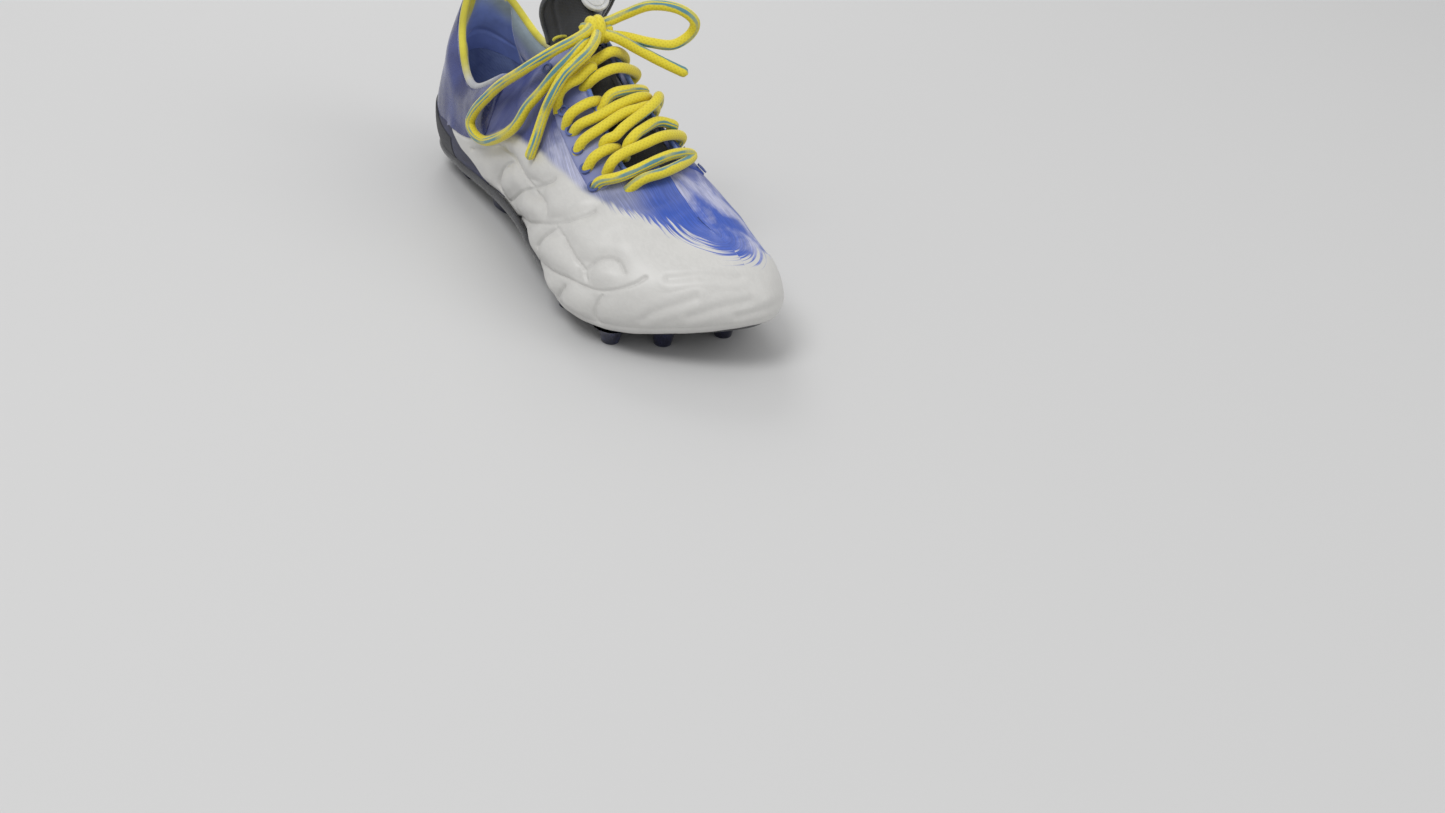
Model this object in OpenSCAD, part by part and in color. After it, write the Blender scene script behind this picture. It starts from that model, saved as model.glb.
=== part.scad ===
// Lace-up soccer cleat for the right foot: moulded stud plate, layered upper and tied lace.
// Millimetres. X runs to the toe, Y to the inner side of the foot, Z up from the stud tips.

/* [Shoe] */
// Distance from the heel datum to the middle of the shoe
middle_x = 139.2; // [120:0.1:160]
// Sideways distance from the heel datum to the middle of the shoe
middle_y = -2.4; // [-10:0.1:10]
// Distance from the heel datum to the line where the sole bends
flex_x = 211.5; // [195:0.5:225]
// Slot left between the two halves of each sole layer
flex_slot = 0.3; // [0.2:0.1:1]

/* [Sole] */
// How far the stud plate reaches beyond the upper
plate_lip = 2.2; // [0:0.1:4]
// How far the plate draws in under the upper at the forefoot
plate_tuck = 5; // [0:0.5:8]
// Thickness of the stud plate
plate_t = 5.8; // [3:0.1:8]
// Thickness of the insole board
board_t = 1.3; // [0.8:0.1:3]
// Thickness of the sockliner
sock_t = 3.4; // [2:0.1:6]
// Distance from the upper's edge in to the insole board
board_inset = 4.6; // [3:0.1:8]
// Radius of a round stud at its tip
stud_tip_r = 4.6; // [3:0.1:7]
// Radius of a round stud where it leaves the plate
stud_root_r = 7; // [5:0.1:10]
// Length of a heel blade at its tip
blade_len = 15; // [10:0.5:22]
// Thickness of a heel blade at its tip
blade_t = 6.4; // [4:0.1:9]
// Width of the arch shank
shank_w = 26; // [16:1:40]
// Thickness of the arch shank
shank_t = 1.8; // [1:0.1:4]

/* [Upper] */
// Thickness of an outer panel
panel_t = 1.4; // [0.8:0.1:2.4]
// Thickness of a reinforcing overlay
overlay_t = 1.2; // [0.6:0.1:2]
// Thickness of a stiffener between panel and lining
stiffener_t = 0.9; // [0.5:0.1:1.6]
// Thickness of the textile lining
lining_t = 0.9; // [0.5:0.1:1.6]
// Thickness of the foam pads at the collar
pad_t = 5; // [2:0.5:8]
// Space kept between stacked layers
layer_gap = 0.1; // [0.05:0.05:0.3]
// Radius of the collar binding
binding_r = 1.6; // [1:0.1:2.5]

/* [Tongue] */
// Thickness of the padded tongue
tongue_t = 4.4; // [2:0.1:7]
// Depth of the tongue's top face under the upper's skin
tongue_deep = 3.8; // [3.6:0.1:6]
// Half width of the tongue at its free end
tongue_high_w = 27; // [18:1:34]
// Radius of the piping round the tongue's free end
piping_r = 1.3; // [0.8:0.1:2]
// Radius of the round badge
badge_r = 8; // [6:0.5:16]

/* [Lace] */
// Diameter of the lace
lace_d = 5.4; // [3:0.1:7]
// Height of the lace's centre over the upper
lace_lift = 5.2; // [3:0.1:8]
// Number of lace rows
lace_rows = 7; // [5:1:9]
// Radius of the ball at the middle of the knot
knot_r = 5.2; // [4:0.1:8]

/* [Hidden] */
// Heights of the edge where upper meets sole, one every feather_step along the shoe
feather_step = 35;
feather_z = [15, 15, 17.3, 20, 20.3, 16.5, 13.5, 17, 27.5, 45];

// Stations round the shoe, starting at the toe and going by the outer side to the heel:
// [edge x, edge y, top x, top y, top z, dome 1 or wall 0, fullness]
stations = [
    [284, 13, 241, 10, 57, 1, 2], // toe tip
    [272, -15, 237, 10, 57, 1, 3],
    [246, -42, 228, 9, 59, 1, 5],
    [214, -53, 207, 9, 66, 1, 6], // outer ball
    [180, -48, 182, 8, 79, 1, 6],
    [145, -39, 155, 7, 95, 1, 5],
    [110, -33, 124, 5, 113, 1, 4],
    [78, -30, 90, -26, 84, 0.2, 5],
    [44, -28, 46, -25, 62, 0, 6], // outer ankle
    [14, -23, 13, -15, 84, 0, 6.5],
    [2, 0, 2, 0, 106, 0, 5.5], // heel
    [14, 23, 13, 15, 95, 0, 6],
    [44, 30, 46, 21, 80, 0, 5], // inner ankle
    [78, 28, 90, 24, 86, 0.2, 5],
    [110, 26, 124, 5, 113, 1, 4],
    [145, 30, 155, 7, 95, 1, 4],
    [180, 42, 182, 8, 79, 1, 4],
    [214, 48, 207, 9, 66, 1, 5], // inner ball
    [247, 42, 228, 9, 59, 1, 5],
    [273, 33, 237, 10, 57, 1, 3]
];
station_count = len(stations);

// Layer depths below the outer skin
stiffener_top = -panel_t - layer_gap;
stiffener_low = stiffener_top - stiffener_t;
lining_top = stiffener_low - layer_gap;
lining_low = lining_top - lining_t;
pad_top = lining_low - layer_gap;
pad_low = pad_top - pad_t;

// Share of the wall height where panels stop under the collar binding, read by station
collar_top = [[7, 0.948], [8, 0.95], [9, 0.965], [10, 0.972], [11, 0.968], [12, 0.959],
    [13, 0.956]];
// Share of the dome where the upper stops beside the tongue
throat_top = 0.8;
// Share of the dome where the eyelets sit
eyelet_at = 0.63;
// Share of a station left open between neighbouring panels
seam = 0.02;
// Stations of the first and last lace row
first_row = 3.62;
last_row = 5.85;
lace_r = lace_d / 2;
small = 0.01;

// ---- curves and the outer skin ----

// Smooth curve between b and c
function smooth(a, b, c, d, f) =
    0.5 * (2 * b + (c - a) * f + (2 * a - 5 * b + 4 * c - d) * f * f
    + (3 * b - a - 3 * c + d) * f * f * f);

function wrap(i) = (i % station_count + station_count) % station_count;

function station(s) =
    let (i = floor(s), f = s - i)
    smooth(stations[wrap(i - 1)], stations[wrap(i)], stations[wrap(i + 1)],
        stations[wrap(i + 2)], f);

function clamp_index(i, list) = max(0, min(len(list) - 1, i));

// Smooth curve through every point of a list, u from 0 to 1
function spline(list, u) =
    let (n = len(list) - 1, g = min(max(u, 0), 1) * n, i = min(floor(g), n - 1), f = g - i)
    smooth(list[clamp_index(i - 1, list)], list[i], list[i + 1],
        list[clamp_index(i + 2, list)], f);

function feather(x) = spline(feather_z, x / feather_step / (len(feather_z) - 1));

function unit(v) = v / norm(v);

// Outward direction of the edge line, seen from above
function edge_out(s) =
    let (d = station(s + small) - station(s - small))
    unit([-d[1], d[0]]);

// Point on the outer skin: s goes round the shoe, t from the sole edge to the top
function skin(s, t) =
    let (v = station(s), k = min(max(v[5], 0), 1), n = edge_out(s),
        across = k * (1 - cos(90 * t)) + (1 - k) * t,
        up = k * sin(90 * t) + (1 - k) * t,
        full = v[6] * sin(180 * pow(min(max(t, 0), 1), 0.75)),
        z0 = feather(v[0]))
    [v[0] + (v[2] - v[0]) * across + n[0] * full,
     v[1] + (v[3] - v[1]) * across + n[1] * full,
     z0 + (v[4] - z0) * up];

function skin_out(s, t) =
    let (a = min(max(t, small), 1 - small))
    unit(cross(skin(s, a + small) - skin(s, a - small),
        skin(s + small, a) - skin(s - small, a)));

// Point at a depth above (+) or below (-) the outer skin
function layer(st, depth) = skin(st[0], st[1]) + depth * skin_out(st[0], st[1]);

// Point inside the sole outline, moved in by an inset
function outline_point(s, inset) =
    let (v = station(s), n = edge_out(s))
    [v[0] - n[0] * inset, v[1] - n[1] * inset];

function mix(a, b, f) = a + (b - a) * f;

// ---- solid builders ----

// Closed solid between two grids of points
module sheet(outer, inner) {
    rows = len(outer);
    cols = len(outer[0]);
    all_points = concat([for (r = outer) for (p = r) p], [for (r = inner) for (p = r) p]);
    under = rows * cols;
    faces = concat(
        [for (i = [0:rows - 2]) for (j = [0:cols - 2])
            for (f = [[0, cols, cols + 1], [0, cols + 1, 1]])
            [for (k = f) i * cols + j + k]],
        [for (i = [0:rows - 2]) for (j = [0:cols - 2])
            for (f = [[0, cols + 1, cols], [0, 1, cols + 1]])
            [for (k = f) under + i * cols + j + k]],
        [for (i = [0:rows - 2]) for (f = [[0, under, under + cols], [0, under + cols, cols]])
            [for (k = f) i * cols + k]],
        [for (i = [0:rows - 2]) for (f = [[0, under + cols, under], [0, cols, under + cols]])
            [for (k = f) (i + 1) * cols - 1 + k]],
        [for (j = [0:cols - 2]) for (f = [[0, under + 1, under], [0, 1, under + 1]])
            [for (k = f) j + k]],
        [for (j = [0:cols - 2]) for (f = [[0, under, under + 1], [0, under + 1, 1]])
            [for (k = f) (rows - 1) * cols + j + k]]
    );
    polyhedron(points = all_points, faces = faces, convexity = 6);
}

// Panel from a grid of [s, t] pairs between two depths
module panel(grid, top, low) {
    sheet([for (r = grid) [for (p = r) layer(p, top)]],
        [for (r = grid) [for (p = r) layer(p, low)]]);
}

// Grid of [s, t] pairs: s from first to last, t between two tables read by s
function strip(first, last, low_table, high_table, ns, nt) =
    [for (i = [0:ns]) let (s = mix(first, last, i / ns))
        [for (j = [0:nt]) [s, mix(lookup(s, low_table), lookup(s, high_table), j / nt)]]];

// Round cord along a list of points; side_axis is never parallel to it
module cord(points, r, side_axis, sides = 8) {
    n = len(points);
    rings = [for (i = [0:n - 1])
        let (t = unit(points[min(i + 1, n - 1)] - points[max(i - 1, 0)]),
            a = unit(cross(t, side_axis)), b = cross(t, a))
        [for (k = [0:sides - 1])
            points[i] + r * (cos(360 * k / sides) * a + sin(360 * k / sides) * b)]];
    faces = concat(
        [[for (k = [0:sides - 1]) k]],
        [[for (k = [0:sides - 1]) (n - 1) * sides + sides - 1 - k]],
        [for (i = [0:n - 2]) for (k = [0:sides - 1])
            let (m = (k + 1) % sides, o = i * sides)
            for (f = [[o + k, o + sides + k, o + sides + m], [o + k, o + sides + m, o + m]]) f]
    );
    polyhedron(points = [for (r = rings) for (p = r) p], faces = faces, convexity = 6);
}

// Every node stands in the shared frame
module placed() {
    translate([-middle_x, -middle_y, 0])
        children();
}

// Slab that follows the sole edge, between two heights under or over it
module sole_slab(x0, x1, low, high) {
    steps = 20;
    xs = [for (i = [0:steps]) mix(x0, x1, i / steps)];
    width = 160;
    translate([0, width / 2, 0])
        rotate([90, 0, 0])
            linear_extrude(width)
                polygon(concat([for (x = xs) [x, feather(x) + low]],
                    [for (i = [steps:-1:0]) [xs[i], feather(xs[i]) + high]]));
}

// Upright block with the sole's outline
module sole_outline(inset, front_inset) {
    points = 80;
    tall = 60;
    linear_extrude(tall)
        polygon([for (i = [0:points - 1]) let (s = station_count * i / points)
            outline_point(s, lookup(station(s)[0], [[150, inset], [200, front_inset]]))]);
}

module sole_layer(x0, x1, low, high, inset, front_inset) {
    intersection() {
        sole_outline(inset, front_inset);
        sole_slab(x0, x1, low, high);
    }
}

heel_start = -30;
toe_end = 300;
plate_high = -0.2;
plate_low = plate_high - plate_t;
board_low = 0.1;
sock_low = board_low + board_t + layer_gap;
split_low = flex_x - flex_slot / 2;
split_high = flex_x + flex_slot / 2;

// ---- sole ----

module outsole_heel_plate() {
    color("#33363f") placed()
        sole_layer(heel_start, split_low, plate_low, plate_high, -plate_lip, plate_tuck);
}

module outsole_forefoot_plate() {
    color("#33363f") placed()
        sole_layer(split_high, toe_end, plate_low, plate_high, -plate_lip, plate_tuck);
}

module arch_shank() {
    first = 92;
    length = 66;
    color("#1c1d22") placed()
        intersection() {
            sole_slab(first, first + length, plate_low - layer_gap - shank_t,
                plate_low - layer_gap);
            translate([first, -shank_w / 2 - 2, 0])
                cube([length, shank_w, 60]);
        }
}

// Everything under the plate, so a stud ends against it
module under_plate() {
    sole_slab(heel_start, toe_end, -60, plate_low - 2 * layer_gap);
}

module round_studs(places) {
    root_z = 16;
    for (p = places) {
        intersection() {
            translate([p[0], p[1], 0])
                cylinder(h = root_z, r1 = stud_tip_r, r2 = stud_root_r, $fn = 40);
            under_plate();
        }
    }
}

module blade_studs(places) {
    root_z = 16;
    grow = 5;
    for (p = places) {
        intersection() {
            translate([p[0], p[1], 0])
                rotate([0, 0, p[2]])
                    rotate([90, 0, 0])
                        translate([0, 0, -(blade_t + grow) / 2])
                            linear_extrude(blade_t + grow)
                                polygon([[-blade_len / 2, 0], [blade_len / 2, 0],
                                    [(blade_len + grow) / 2, root_z],
                                    [-(blade_len + grow) / 2, root_z]]);
            translate([p[0], p[1], 0])
                rotate([90, 0, 90 + p[2]])
                    translate([0, 0, -blade_len])
                        linear_extrude(2 * blade_len)
                            polygon([[-blade_t / 2, 0], [blade_t / 2, 0],
                                [(blade_t + grow) / 2, root_z],
                                [-(blade_t + grow) / 2, root_z]]);
            under_plate();
        }
    }
}

module heel_studs_rear() {
    color("#23263a") placed()
        blade_studs([[34, -17, -8], [34, 18, 8]]);
}

module heel_studs_front() {
    color("#23263a") placed()
        blade_studs([[80, -19, 4], [80, 18, -4]]);
}

module ball_studs() {
    color("#23263a") placed()
        round_studs([[163, -31], [191, -39], [166, 25], [194, 34]]);
}

module toe_studs() {
    color("#23263a") placed()
        round_studs([[231, -37], [243, -14], [234, 34], [247, 19]]);
}

module insole_board_heel() {
    color("#cfc8b8") placed()
        sole_layer(heel_start, split_low, board_low, board_low + board_t, board_inset, board_inset);
}

module insole_board_forefoot() {
    color("#cfc8b8") placed()
        sole_layer(split_high, toe_end, board_low, board_low + board_t, board_inset, board_inset);
}

module sockliner_heel() {
    color("#40465e") placed()
        sole_layer(heel_start, split_low, sock_low, sock_low + sock_t, board_inset, board_inset);
}

module sockliner_forefoot() {
    color("#40465e") placed()
        sole_layer(split_high, toe_end, sock_low, sock_low + sock_t, board_inset, board_inset);
}

// ---- upper: outer panels ----

// Edges of the part of the upper that bends over the ball of the foot
function bend_front(t) = 2.92 - 1.15 * t;
function bend_rear(t) = 3.27 + 0.13 * t;

// Top edge of the white outer panel, read by station
white_top = [[3.2, 0.62], [3.65, 0.54], [4.1, 0.46], [4.65, 0.4], [5.25, 0.33], [5.85, 0.28],
    [6.4, 0.33], [6.8, 0.38], [7.45, 0.47], [8.05, 0.44]];
// Bottom edge of the white outer panel
white_low = [[6.6, 0], [7.2, 0.07], [7.6, 0.16], [8.05, 0.36]];
// Top edge of the upper between tongue and collar
upper_top = concat([[5.9, throat_top], [6.5, 0.86], [7, 0.94]],
    [for (s = [7.4:0.2:12.6]) [s, lookup(s, collar_top)]],
    [[13, 0.94], [13.5, 0.86], [14.1, throat_top]]);

function raised(table, by) = [for (p = table) [p[0], p[1] + by]];

// Strip whose toe end follows the bend zone; side is 1 outside, -1 inside
function front_strip(side, last, low_table, high_table, ns, nt) =
    [for (i = [0:ns]) [for (j = [0:nt])
        let (mid = mix(3.35, last, i / ns),
            t = mix(lookup(mid, low_table), lookup(mid, high_table), j / nt),
            first = bend_rear(t) + seam, s = mix(first, last, i / ns))
        side > 0 ? [s, t] : [station_count - s, t]]];

// Same grid read the other way round, so its outside stays outside
function turned(grid) = [for (i = [len(grid) - 1:-1:0]) grid[i]];

module lateral_quarter() {
    color("#dcdad2") placed()
        panel(front_strip(1, 8.05, white_low, white_top, 22, 5), 0, -panel_t);
}

module lateral_saddle() {
    high = [[3.4, throat_top], [5.9, throat_top], [6.5, 0.86], [6.95, 0.93]];
    color("#7f8ab8") placed()
        panel(front_strip(1, 6.95, raised(white_top, seam), high, 18, 5), 0, -panel_t);
}

module heel_quarter() {
    low = [[6.97, 0.43], [7.45, 0.49], [8.07, 0.46], [8.12, 0]];
    color("#3a3f63") placed()
        panel(concat(strip(6.97, 8.07, low, upper_top, 6, 11), strip(8.12, 13, low, upper_top, 26, 11)),
            0, -panel_t);
}

// Dark band between the white panel and the sole at the outer heel
module lateral_rand() {
    color("#2c2f3d") placed()
        panel(strip(6.75, 8.05, [[7, 0]], raised(white_low, -seam), 8, 2), 0, -panel_t);
}

module medial_quarter() {
    high = [[3.4, throat_top], [5.9, throat_top], [6.5, 0.86], [6.97, 0.93]];
    color("#6d78ad") placed()
        panel(turned(front_strip(-1, 6.97, [[0, 0]], high, 18, 8)), 0, -panel_t);
}

module medial_rand() {
    high = [[3.3, 0.3], [5, 0.24], [6.5, 0.26], [7.6, 0.2], [8.3, 0.08]];
    color("#d3d3d0") placed()
        panel(turned(front_strip(-1, 8.2, [[0, 0.02]], high, 18, 3)),
            layer_gap + overlay_t, layer_gap);
}

module vamp() {
    rows = 6;
    half = 11;
    grid = [for (i = [0:rows])
        concat(
            [for (j = [0:half]) let (t = j / half)
                [mix(bend_front(t), bend_rear(t), i / rows), t]],
            [for (j = [half - 1:-1:0]) let (t = j / half)
                [-mix(bend_front(t), bend_rear(t), i / rows), t]]
        )];
    color("#4f6fd0") placed()
        panel(grid, 0, -panel_t);
}

// Top edge of the toe cap, read by station, negative on the inner side
cap_top = [[-2.9, 0.24], [-2.3, 0.33], [-1.7, 0.43], [-1.3, 0.52], [-0.5, 0.6], [0, 0.65],
    [1.25, 0.78], [2.1, 0.78]];

// Station of a toe panel: share runs from -1 inside to 1 outside
function toe_station(share, t) = share * (bend_front(t) - seam);

module toe_cap() {
    ns = 26;
    nt = 6;
    grid = [for (i = [0:ns]) [for (j = [0:nt])
        let (share = 2 * i / ns - 1,
            t = lookup(share * (share > 0 ? 2.1 : 2.7), cap_top) * j / nt)
        [toe_station(share, t), t]]];
    color("#e3e1da") placed()
        panel(grid, 0, -panel_t);
}

module vamp_front() {
    rows = 8;
    half = 6;
    first = 0.06;
    // Each row runs from the outer edge of the toe cap over the crest to the inner edge
    grid = [for (i = [0:rows])
        let (r = mix(first, 1, i / rows),
            outer_t = lookup(r * 2.1, cap_top) + seam,
            inner_t = lookup(-r * 2.7, cap_top) + seam,
            outer = [toe_station(r, outer_t), outer_t],
            inner = [toe_station(-r, inner_t), inner_t],
            crest_t = min(1, mix(0.67, 1, r * 1.35)),
            crest_s = max(0, (r - 0.74) / 0.26) * (bend_front(1) - seam))
        concat(
            [for (j = [0:half]) mix(outer, [crest_s, crest_t], j / half)],
            [for (j = [half - 1:-1:0]) mix(inner, [-crest_s, crest_t], j / half)]
        )];
    color("#4666cf") placed()
        panel(grid, 0, -panel_t);
}

// ---- upper: overlays, stiffeners and linings ----

module heel_cup() {
    low = [[7.6, 0.02], [12.2, 0.02]];
    high = [[7.6, 0.06], [8.4, 0.24], [9.2, 0.33], [10, 0.36], [10.8, 0.33], [11.4, 0.24],
        [11.75, 0.12]];
    color("#2c2f3d") placed()
        panel(strip(8.15, 11.7, low, high, 26, 6), 2 * layer_gap + overlay_t, 2 * layer_gap);
}

module heel_counter() {
    color("#b9b09c") placed()
        panel(strip(8.3, 11.7, [[8, 0.05]], [[8.3, 0.4], [10, 0.62], [11.7, 0.4]], 24, 4),
            stiffener_top - 0.3, stiffener_low + 0.2);
}

module toe_puff() {
    color("#b9b09c") placed()
        panel(strip(-1.7, 1.7, [[0, 0.05]], [[-1.7, 0.3], [0, 0.5], [1.7, 0.45]], 28, 4),
            stiffener_top - 0.3, stiffener_low + 0.2);
}

module forefoot_lining() {
    ns = 20;
    nt = 5;
    top = 0.6;
    grid = [for (i = [0:ns]) [for (j = [0:nt]) let (t = mix(0.03, top, j / nt))
        [toe_station(2 * i / ns - 1, t), t]]];
    color("#8f93a6") placed()
        panel(grid, lining_top, lining_low);
}

module quarter_lining() {
    ends = [bend_rear(0.4) + 3 * seam, station_count - bend_rear(0.4) - 3 * seam];
    high = [[3.4, 0.77], [5.9, 0.77], [6.5, 0.82], [7, 0.9], [7.4, 0.93], [12.6, 0.93],
        [13, 0.9], [13.5, 0.82], [14.1, 0.77]];
    color("#6b7996") placed()
        panel(strip(ends[0], ends[1], [[0, 0.03]], high, 52, 7), lining_top, lining_low);
}

module collar_pad_lateral() {
    color("#6b7aa0") placed()
        panel(strip(7.15, 8.88, [[7, 0.5]], [[7, 0.86], [8, 0.9]], 9, 4), pad_top, pad_low);
}

module collar_pad_medial() {
    color("#6b7aa0") placed()
        panel(strip(11.12, 12.85, [[12, 0.5]], [[12, 0.9], [13, 0.86]], 9, 4),
            pad_top, pad_low);
}

module heel_tab_lining() {
    color("#c9b93e") placed()
        panel(strip(8.92, 11.08, [[9, 0.6], [10, 0.55], [11, 0.6]], [[10, 0.93]], 12, 4),
            pad_top - 0.3, pad_top - 0.3 - overlay_t);
}

module collar_binding() {
    steps = 44;
    points = [for (i = [0:steps]) let (s = mix(7.1, 12.9, i / steps))
        layer([s, 1], -panel_t)];
    color("#cfc04a") placed()
        cord(points, binding_r, [0, 0.001, 1]);
}

module eyestay(side) {
    low = [[3.4, 0.56], [5.9, 0.56]];
    high = [[3.4, throat_top - seam], [5.9, throat_top - seam]];
    grid = [for (i = [0:12]) [for (j = [0:3]) let (s = mix(first_row - 0.14, 5.95, i / 12))
        [side > 0 ? s : station_count - s,
            mix(lookup(s, low), lookup(s, high), j / 3)]]];
    panel(side > 0 ? grid : turned(grid), layer_gap + overlay_t, layer_gap);
}

module eyestay_lateral() {
    color("#8a93c4") placed()
        eyestay(1);
}

module eyestay_medial() {
    color("#4a63b8") placed()
        eyestay(-1);
}

function row_station(i) = mix(first_row, last_row, i / (lace_rows - 1));

// Turn children from Z up to a direction
module facing(v) {
    rotate([0, acos(v[2] / norm(v)), atan2(v[1], v[0])])
        children();
}

module eyelets() {
    ring_r = 3.1;
    hole_r = 1.9;
    tall = 0.9;
    color("#5b6aa8") placed()
        for (side = [1, -1]) {
            for (i = [0:lace_rows - 1]) {
                s = side > 0 ? row_station(i) : station_count - row_station(i);
                translate(layer([s, eyelet_at], 2 * layer_gap + overlay_t + 0.15))
                    facing(skin_out(s, eyelet_at))
                        difference() {
                            cylinder(h = tall, r = ring_r, $fn = 24);
                            translate([0, 0, -1])
                                cylinder(h = tall + 2, r = hole_r, $fn = 24);
                        }
            }
        }
}

// ---- tongue ----

// Free end of the tongue, from the point where it leaves the throat
free_line = [[0, 0, 0], [-5.6, 1.5, 5.5], [-12, 3.5, 13.5], [-17, 4.8, 22.5], [-20, 5.4, 31.5]];
// Stations where the tongue starts and where it leaves the throat
tongue_first = 3.45;
tongue_last = 5.95;
// Share of the dome where the tongue's edges lie
tongue_edge = 0.62;
// Where the tongue's bend starts and stops, as shares of its length
bend_start = 0.552;
bend_end = 0.6;
bend_gap = 0.003;
// How far the tongue's wings tuck back, down and inwards behind the collar
wing_back = 10;
wing_drop = 5;
wing_narrow = 0.38;
// Where they tuck: from u = 0.4 to the free end in even steps
wing_tuck = [0, 0.3, 0.95, 1, 0.8, 0.35, 0];
// How far the corners of the free end drop, as a share of its length
corner_drop = 0.16;

// Place on the skin over a tongue point; w runs from -1 outside to 1 inside
function tongue_place(s, w) = [w > 0 ? -s : s, 1 - (1 - tongue_edge) * abs(w)];

function tongue_middle(s, w) = layer(tongue_place(s, w), -tongue_deep - tongue_t / 2);

function tongue_point(u, w, up) =
    let (f = max(0, u - bend_end) / (1 - bend_end),
        s = mix(tongue_first, tongue_last, min(1, u / bend_end)),
        d = spline(free_line, f + small) - spline(free_line, f - small),
        n = unit([d[2], 0, -d[0]]),
        place = tongue_place(s, w),
        y = w * tongue_high_w * (1 - 0.32 * pow(max(0, (u - 0.86) / 0.14), 2)),
        rolled = tongue_middle(s, w) - tongue_middle(s, 0),
        flat = [0, y, 0] - n * 0.018 * y * y,
        out = unit(mix(skin_out(place[0], place[1]), n, f)),
        thick = tongue_t * (1 - 0.45 * pow(abs(w), 3)),
        tuck = spline(wing_tuck, (u - 0.4) / 0.6), section = mix(rolled, flat, f),
        reach = f * (1 - corner_drop * pow(w, 4) * f),
        wings = [-wing_back * tuck * w * w, -wing_narrow * tuck * section[1],
            -wing_drop * tuck * w * w])
    tongue_middle(s, 0) + spline(free_line, reach) + section + wings + out * up * thick / 2;

module tongue_piece(u0, u1, nu) {
    nw = 10;
    sheet([for (i = [0:nu]) [for (j = [0:nw])
            tongue_point(mix(u0, u1, i / nu), 1 - 2 * j / nw, 1)]],
        [for (i = [0:nu]) [for (j = [0:nw])
            tongue_point(mix(u0, u1, i / nu), 1 - 2 * j / nw, -1)]]);
}

module tongue() {
    color("#2a2b2e") placed()
        tongue_piece(0, bend_start - bend_gap, 12);
}

module tongue_bend() {
    color("#2a2b2e") placed()
        tongue_piece(bend_start, bend_end, 3);
}

module tongue_top() {
    color("#2a2b2e") placed()
        tongue_piece(bend_end + bend_gap, 1, 10);
}

module tongue_piping() {
    around = [for (i = [0:8]) tongue_point(mix(0.76, 0.96, i / 8), -1.085, 0)];
    over = [for (i = [0:10]) tongue_point(1, mix(-0.98, 0.98, i / 10), 0)
        + [0, mix(-2, 2, i / 10), 2.8]];
    back = [for (i = [8:-1:0]) tongue_point(mix(0.76, 0.96, i / 8), 1.085, 0)];
    color("#3b4a86") placed()
        cord(concat(around, over, back), piping_r, [1, 0, 0.35]);
}

module tongue_badge() {
    u = 0.88;
    face = tongue_point(u, 0, 1);
    low = tongue_point(u, 0, -1);
    color("#dcdcda") placed()
        translate(face + unit(face - low) * 3.1)
            facing(face - low)
                cylinder(h = 1.2, r = badge_r, $fn = 48);
}

module tongue_loop() {
    u = 0.72;
    face = tongue_point(u, -0.75, 1);
    low = tongue_point(u, -0.75, -1);
    n = unit(face - low);
    points = [for (i = [0:12]) let (a = 180 * i / 12)
        face + n * (3.8 + 3.2 * sin(a)) + [0, 5 * cos(a), 0]];
    color("#c6b838") placed()
        cord(points, 0.9, [1, 0, 0.7]);
}

// ---- lace ----

// Centre line of one lace row: straight seen from above, arched over the tongue
function lace_row(i, steps) =
    let (s = row_station(i), slope = 0.62,
        a = layer([s, eyelet_at], lace_lift - 0.6),
        b = layer([-s, eyelet_at], lace_lift - 0.6),
        crest = skin(s, 1), mid_x = (a[0] + b[0]) / 2,
        top = crest[2] + (crest[0] - mid_x) * slope + lace_lift,
        rise = top - (a[2] + b[2]) / 2)
    [for (k = [0:steps]) let (f = k / steps)
        mix(a, b, f) + [0, 0, rise * (1 - pow(abs(2 * f - 1), 2.2))]];

module lace_ladder() {
    color("#c6b838") placed()
        for (i = [0:lace_rows - 1])
            cord(lace_row(i, 14), lace_r, [1, 0, -0.4]);
}

knot_at = [129, 3, 119.5];

module lace_knot() {
    wrap_r = 4.4;
    color("#c6b838") placed()
        translate(knot_at) {
            sphere(r = knot_r, $fn = 32);
            rotate([20, 70, 0])
                rotate_extrude($fn = 32)
                    translate([wrap_r, 0])
                        circle(r = lace_r, $fn = 16);
        }
}

// Bow loops and free ends, as points their centre lines pass through
lateral_loop = [[128.5, 0, 122.5], [135, -7, 121.3], [134, -14, 117.2], [130, -20.7, 112],
    [123.4, -25.8, 105],
    [113.2, -31.1, 94.8], [97.3, -33.8, 81.7], [87.8, -36.6, 70.9], [79.7, -38, 61.6],
    [75.3, -39, 52.4], [80.8, -39.1, 47.8], [91, -37.7, 47.9], [109.3, -38.7, 58.1],
    [123.5, -37.9, 70.2], [128, -34.1, 82], [132, -29.2, 91.1], [136, -23.6, 102],
    [139.4, -17.6, 110.6], [139, -11, 116.2], [132.5, -1, 117.3]];
medial_loop = [[127.8, 6.5, 122], [127, 13, 123], [129, 19, 126], [138, 28, 133], [148, 38, 134],
    [154, 45, 129],
    [152, 45, 121], [149, 37, 115], [143, 27, 115], [135, 16, 116.5],
    [131.5, 6.5, 117]];
lateral_end = [[134, 0, 120.5], [142, -5.5, 119], [145.4, -12, 114.6], [144.4, -22.8, 104.9],
    [143.7, -29, 93.4],
    [141, -31, 84], [143.9, -36.7, 72], [144.9, -41.1, 60.9]];
medial_end = [[132.5, 3, 119], [138.5, 9.5, 118], [143.5, 19.5, 112.5], [151.5, 29.5, 107.5],
    [161.5, 39.5, 103.5]];

module bow_part(line, side_axis, steps) {
    color("#c6b838") placed()
        cord([for (i = [0:steps]) spline(line, i / steps)], lace_r, side_axis);
}

module lace_loop_lateral() {
    bow_part(lateral_loop, [0.55, -0.75, 0.35], 44);
}

module lace_loop_medial() {
    bow_part(medial_loop, [-0.8, 0.55, 0.3], 30);
}

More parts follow.
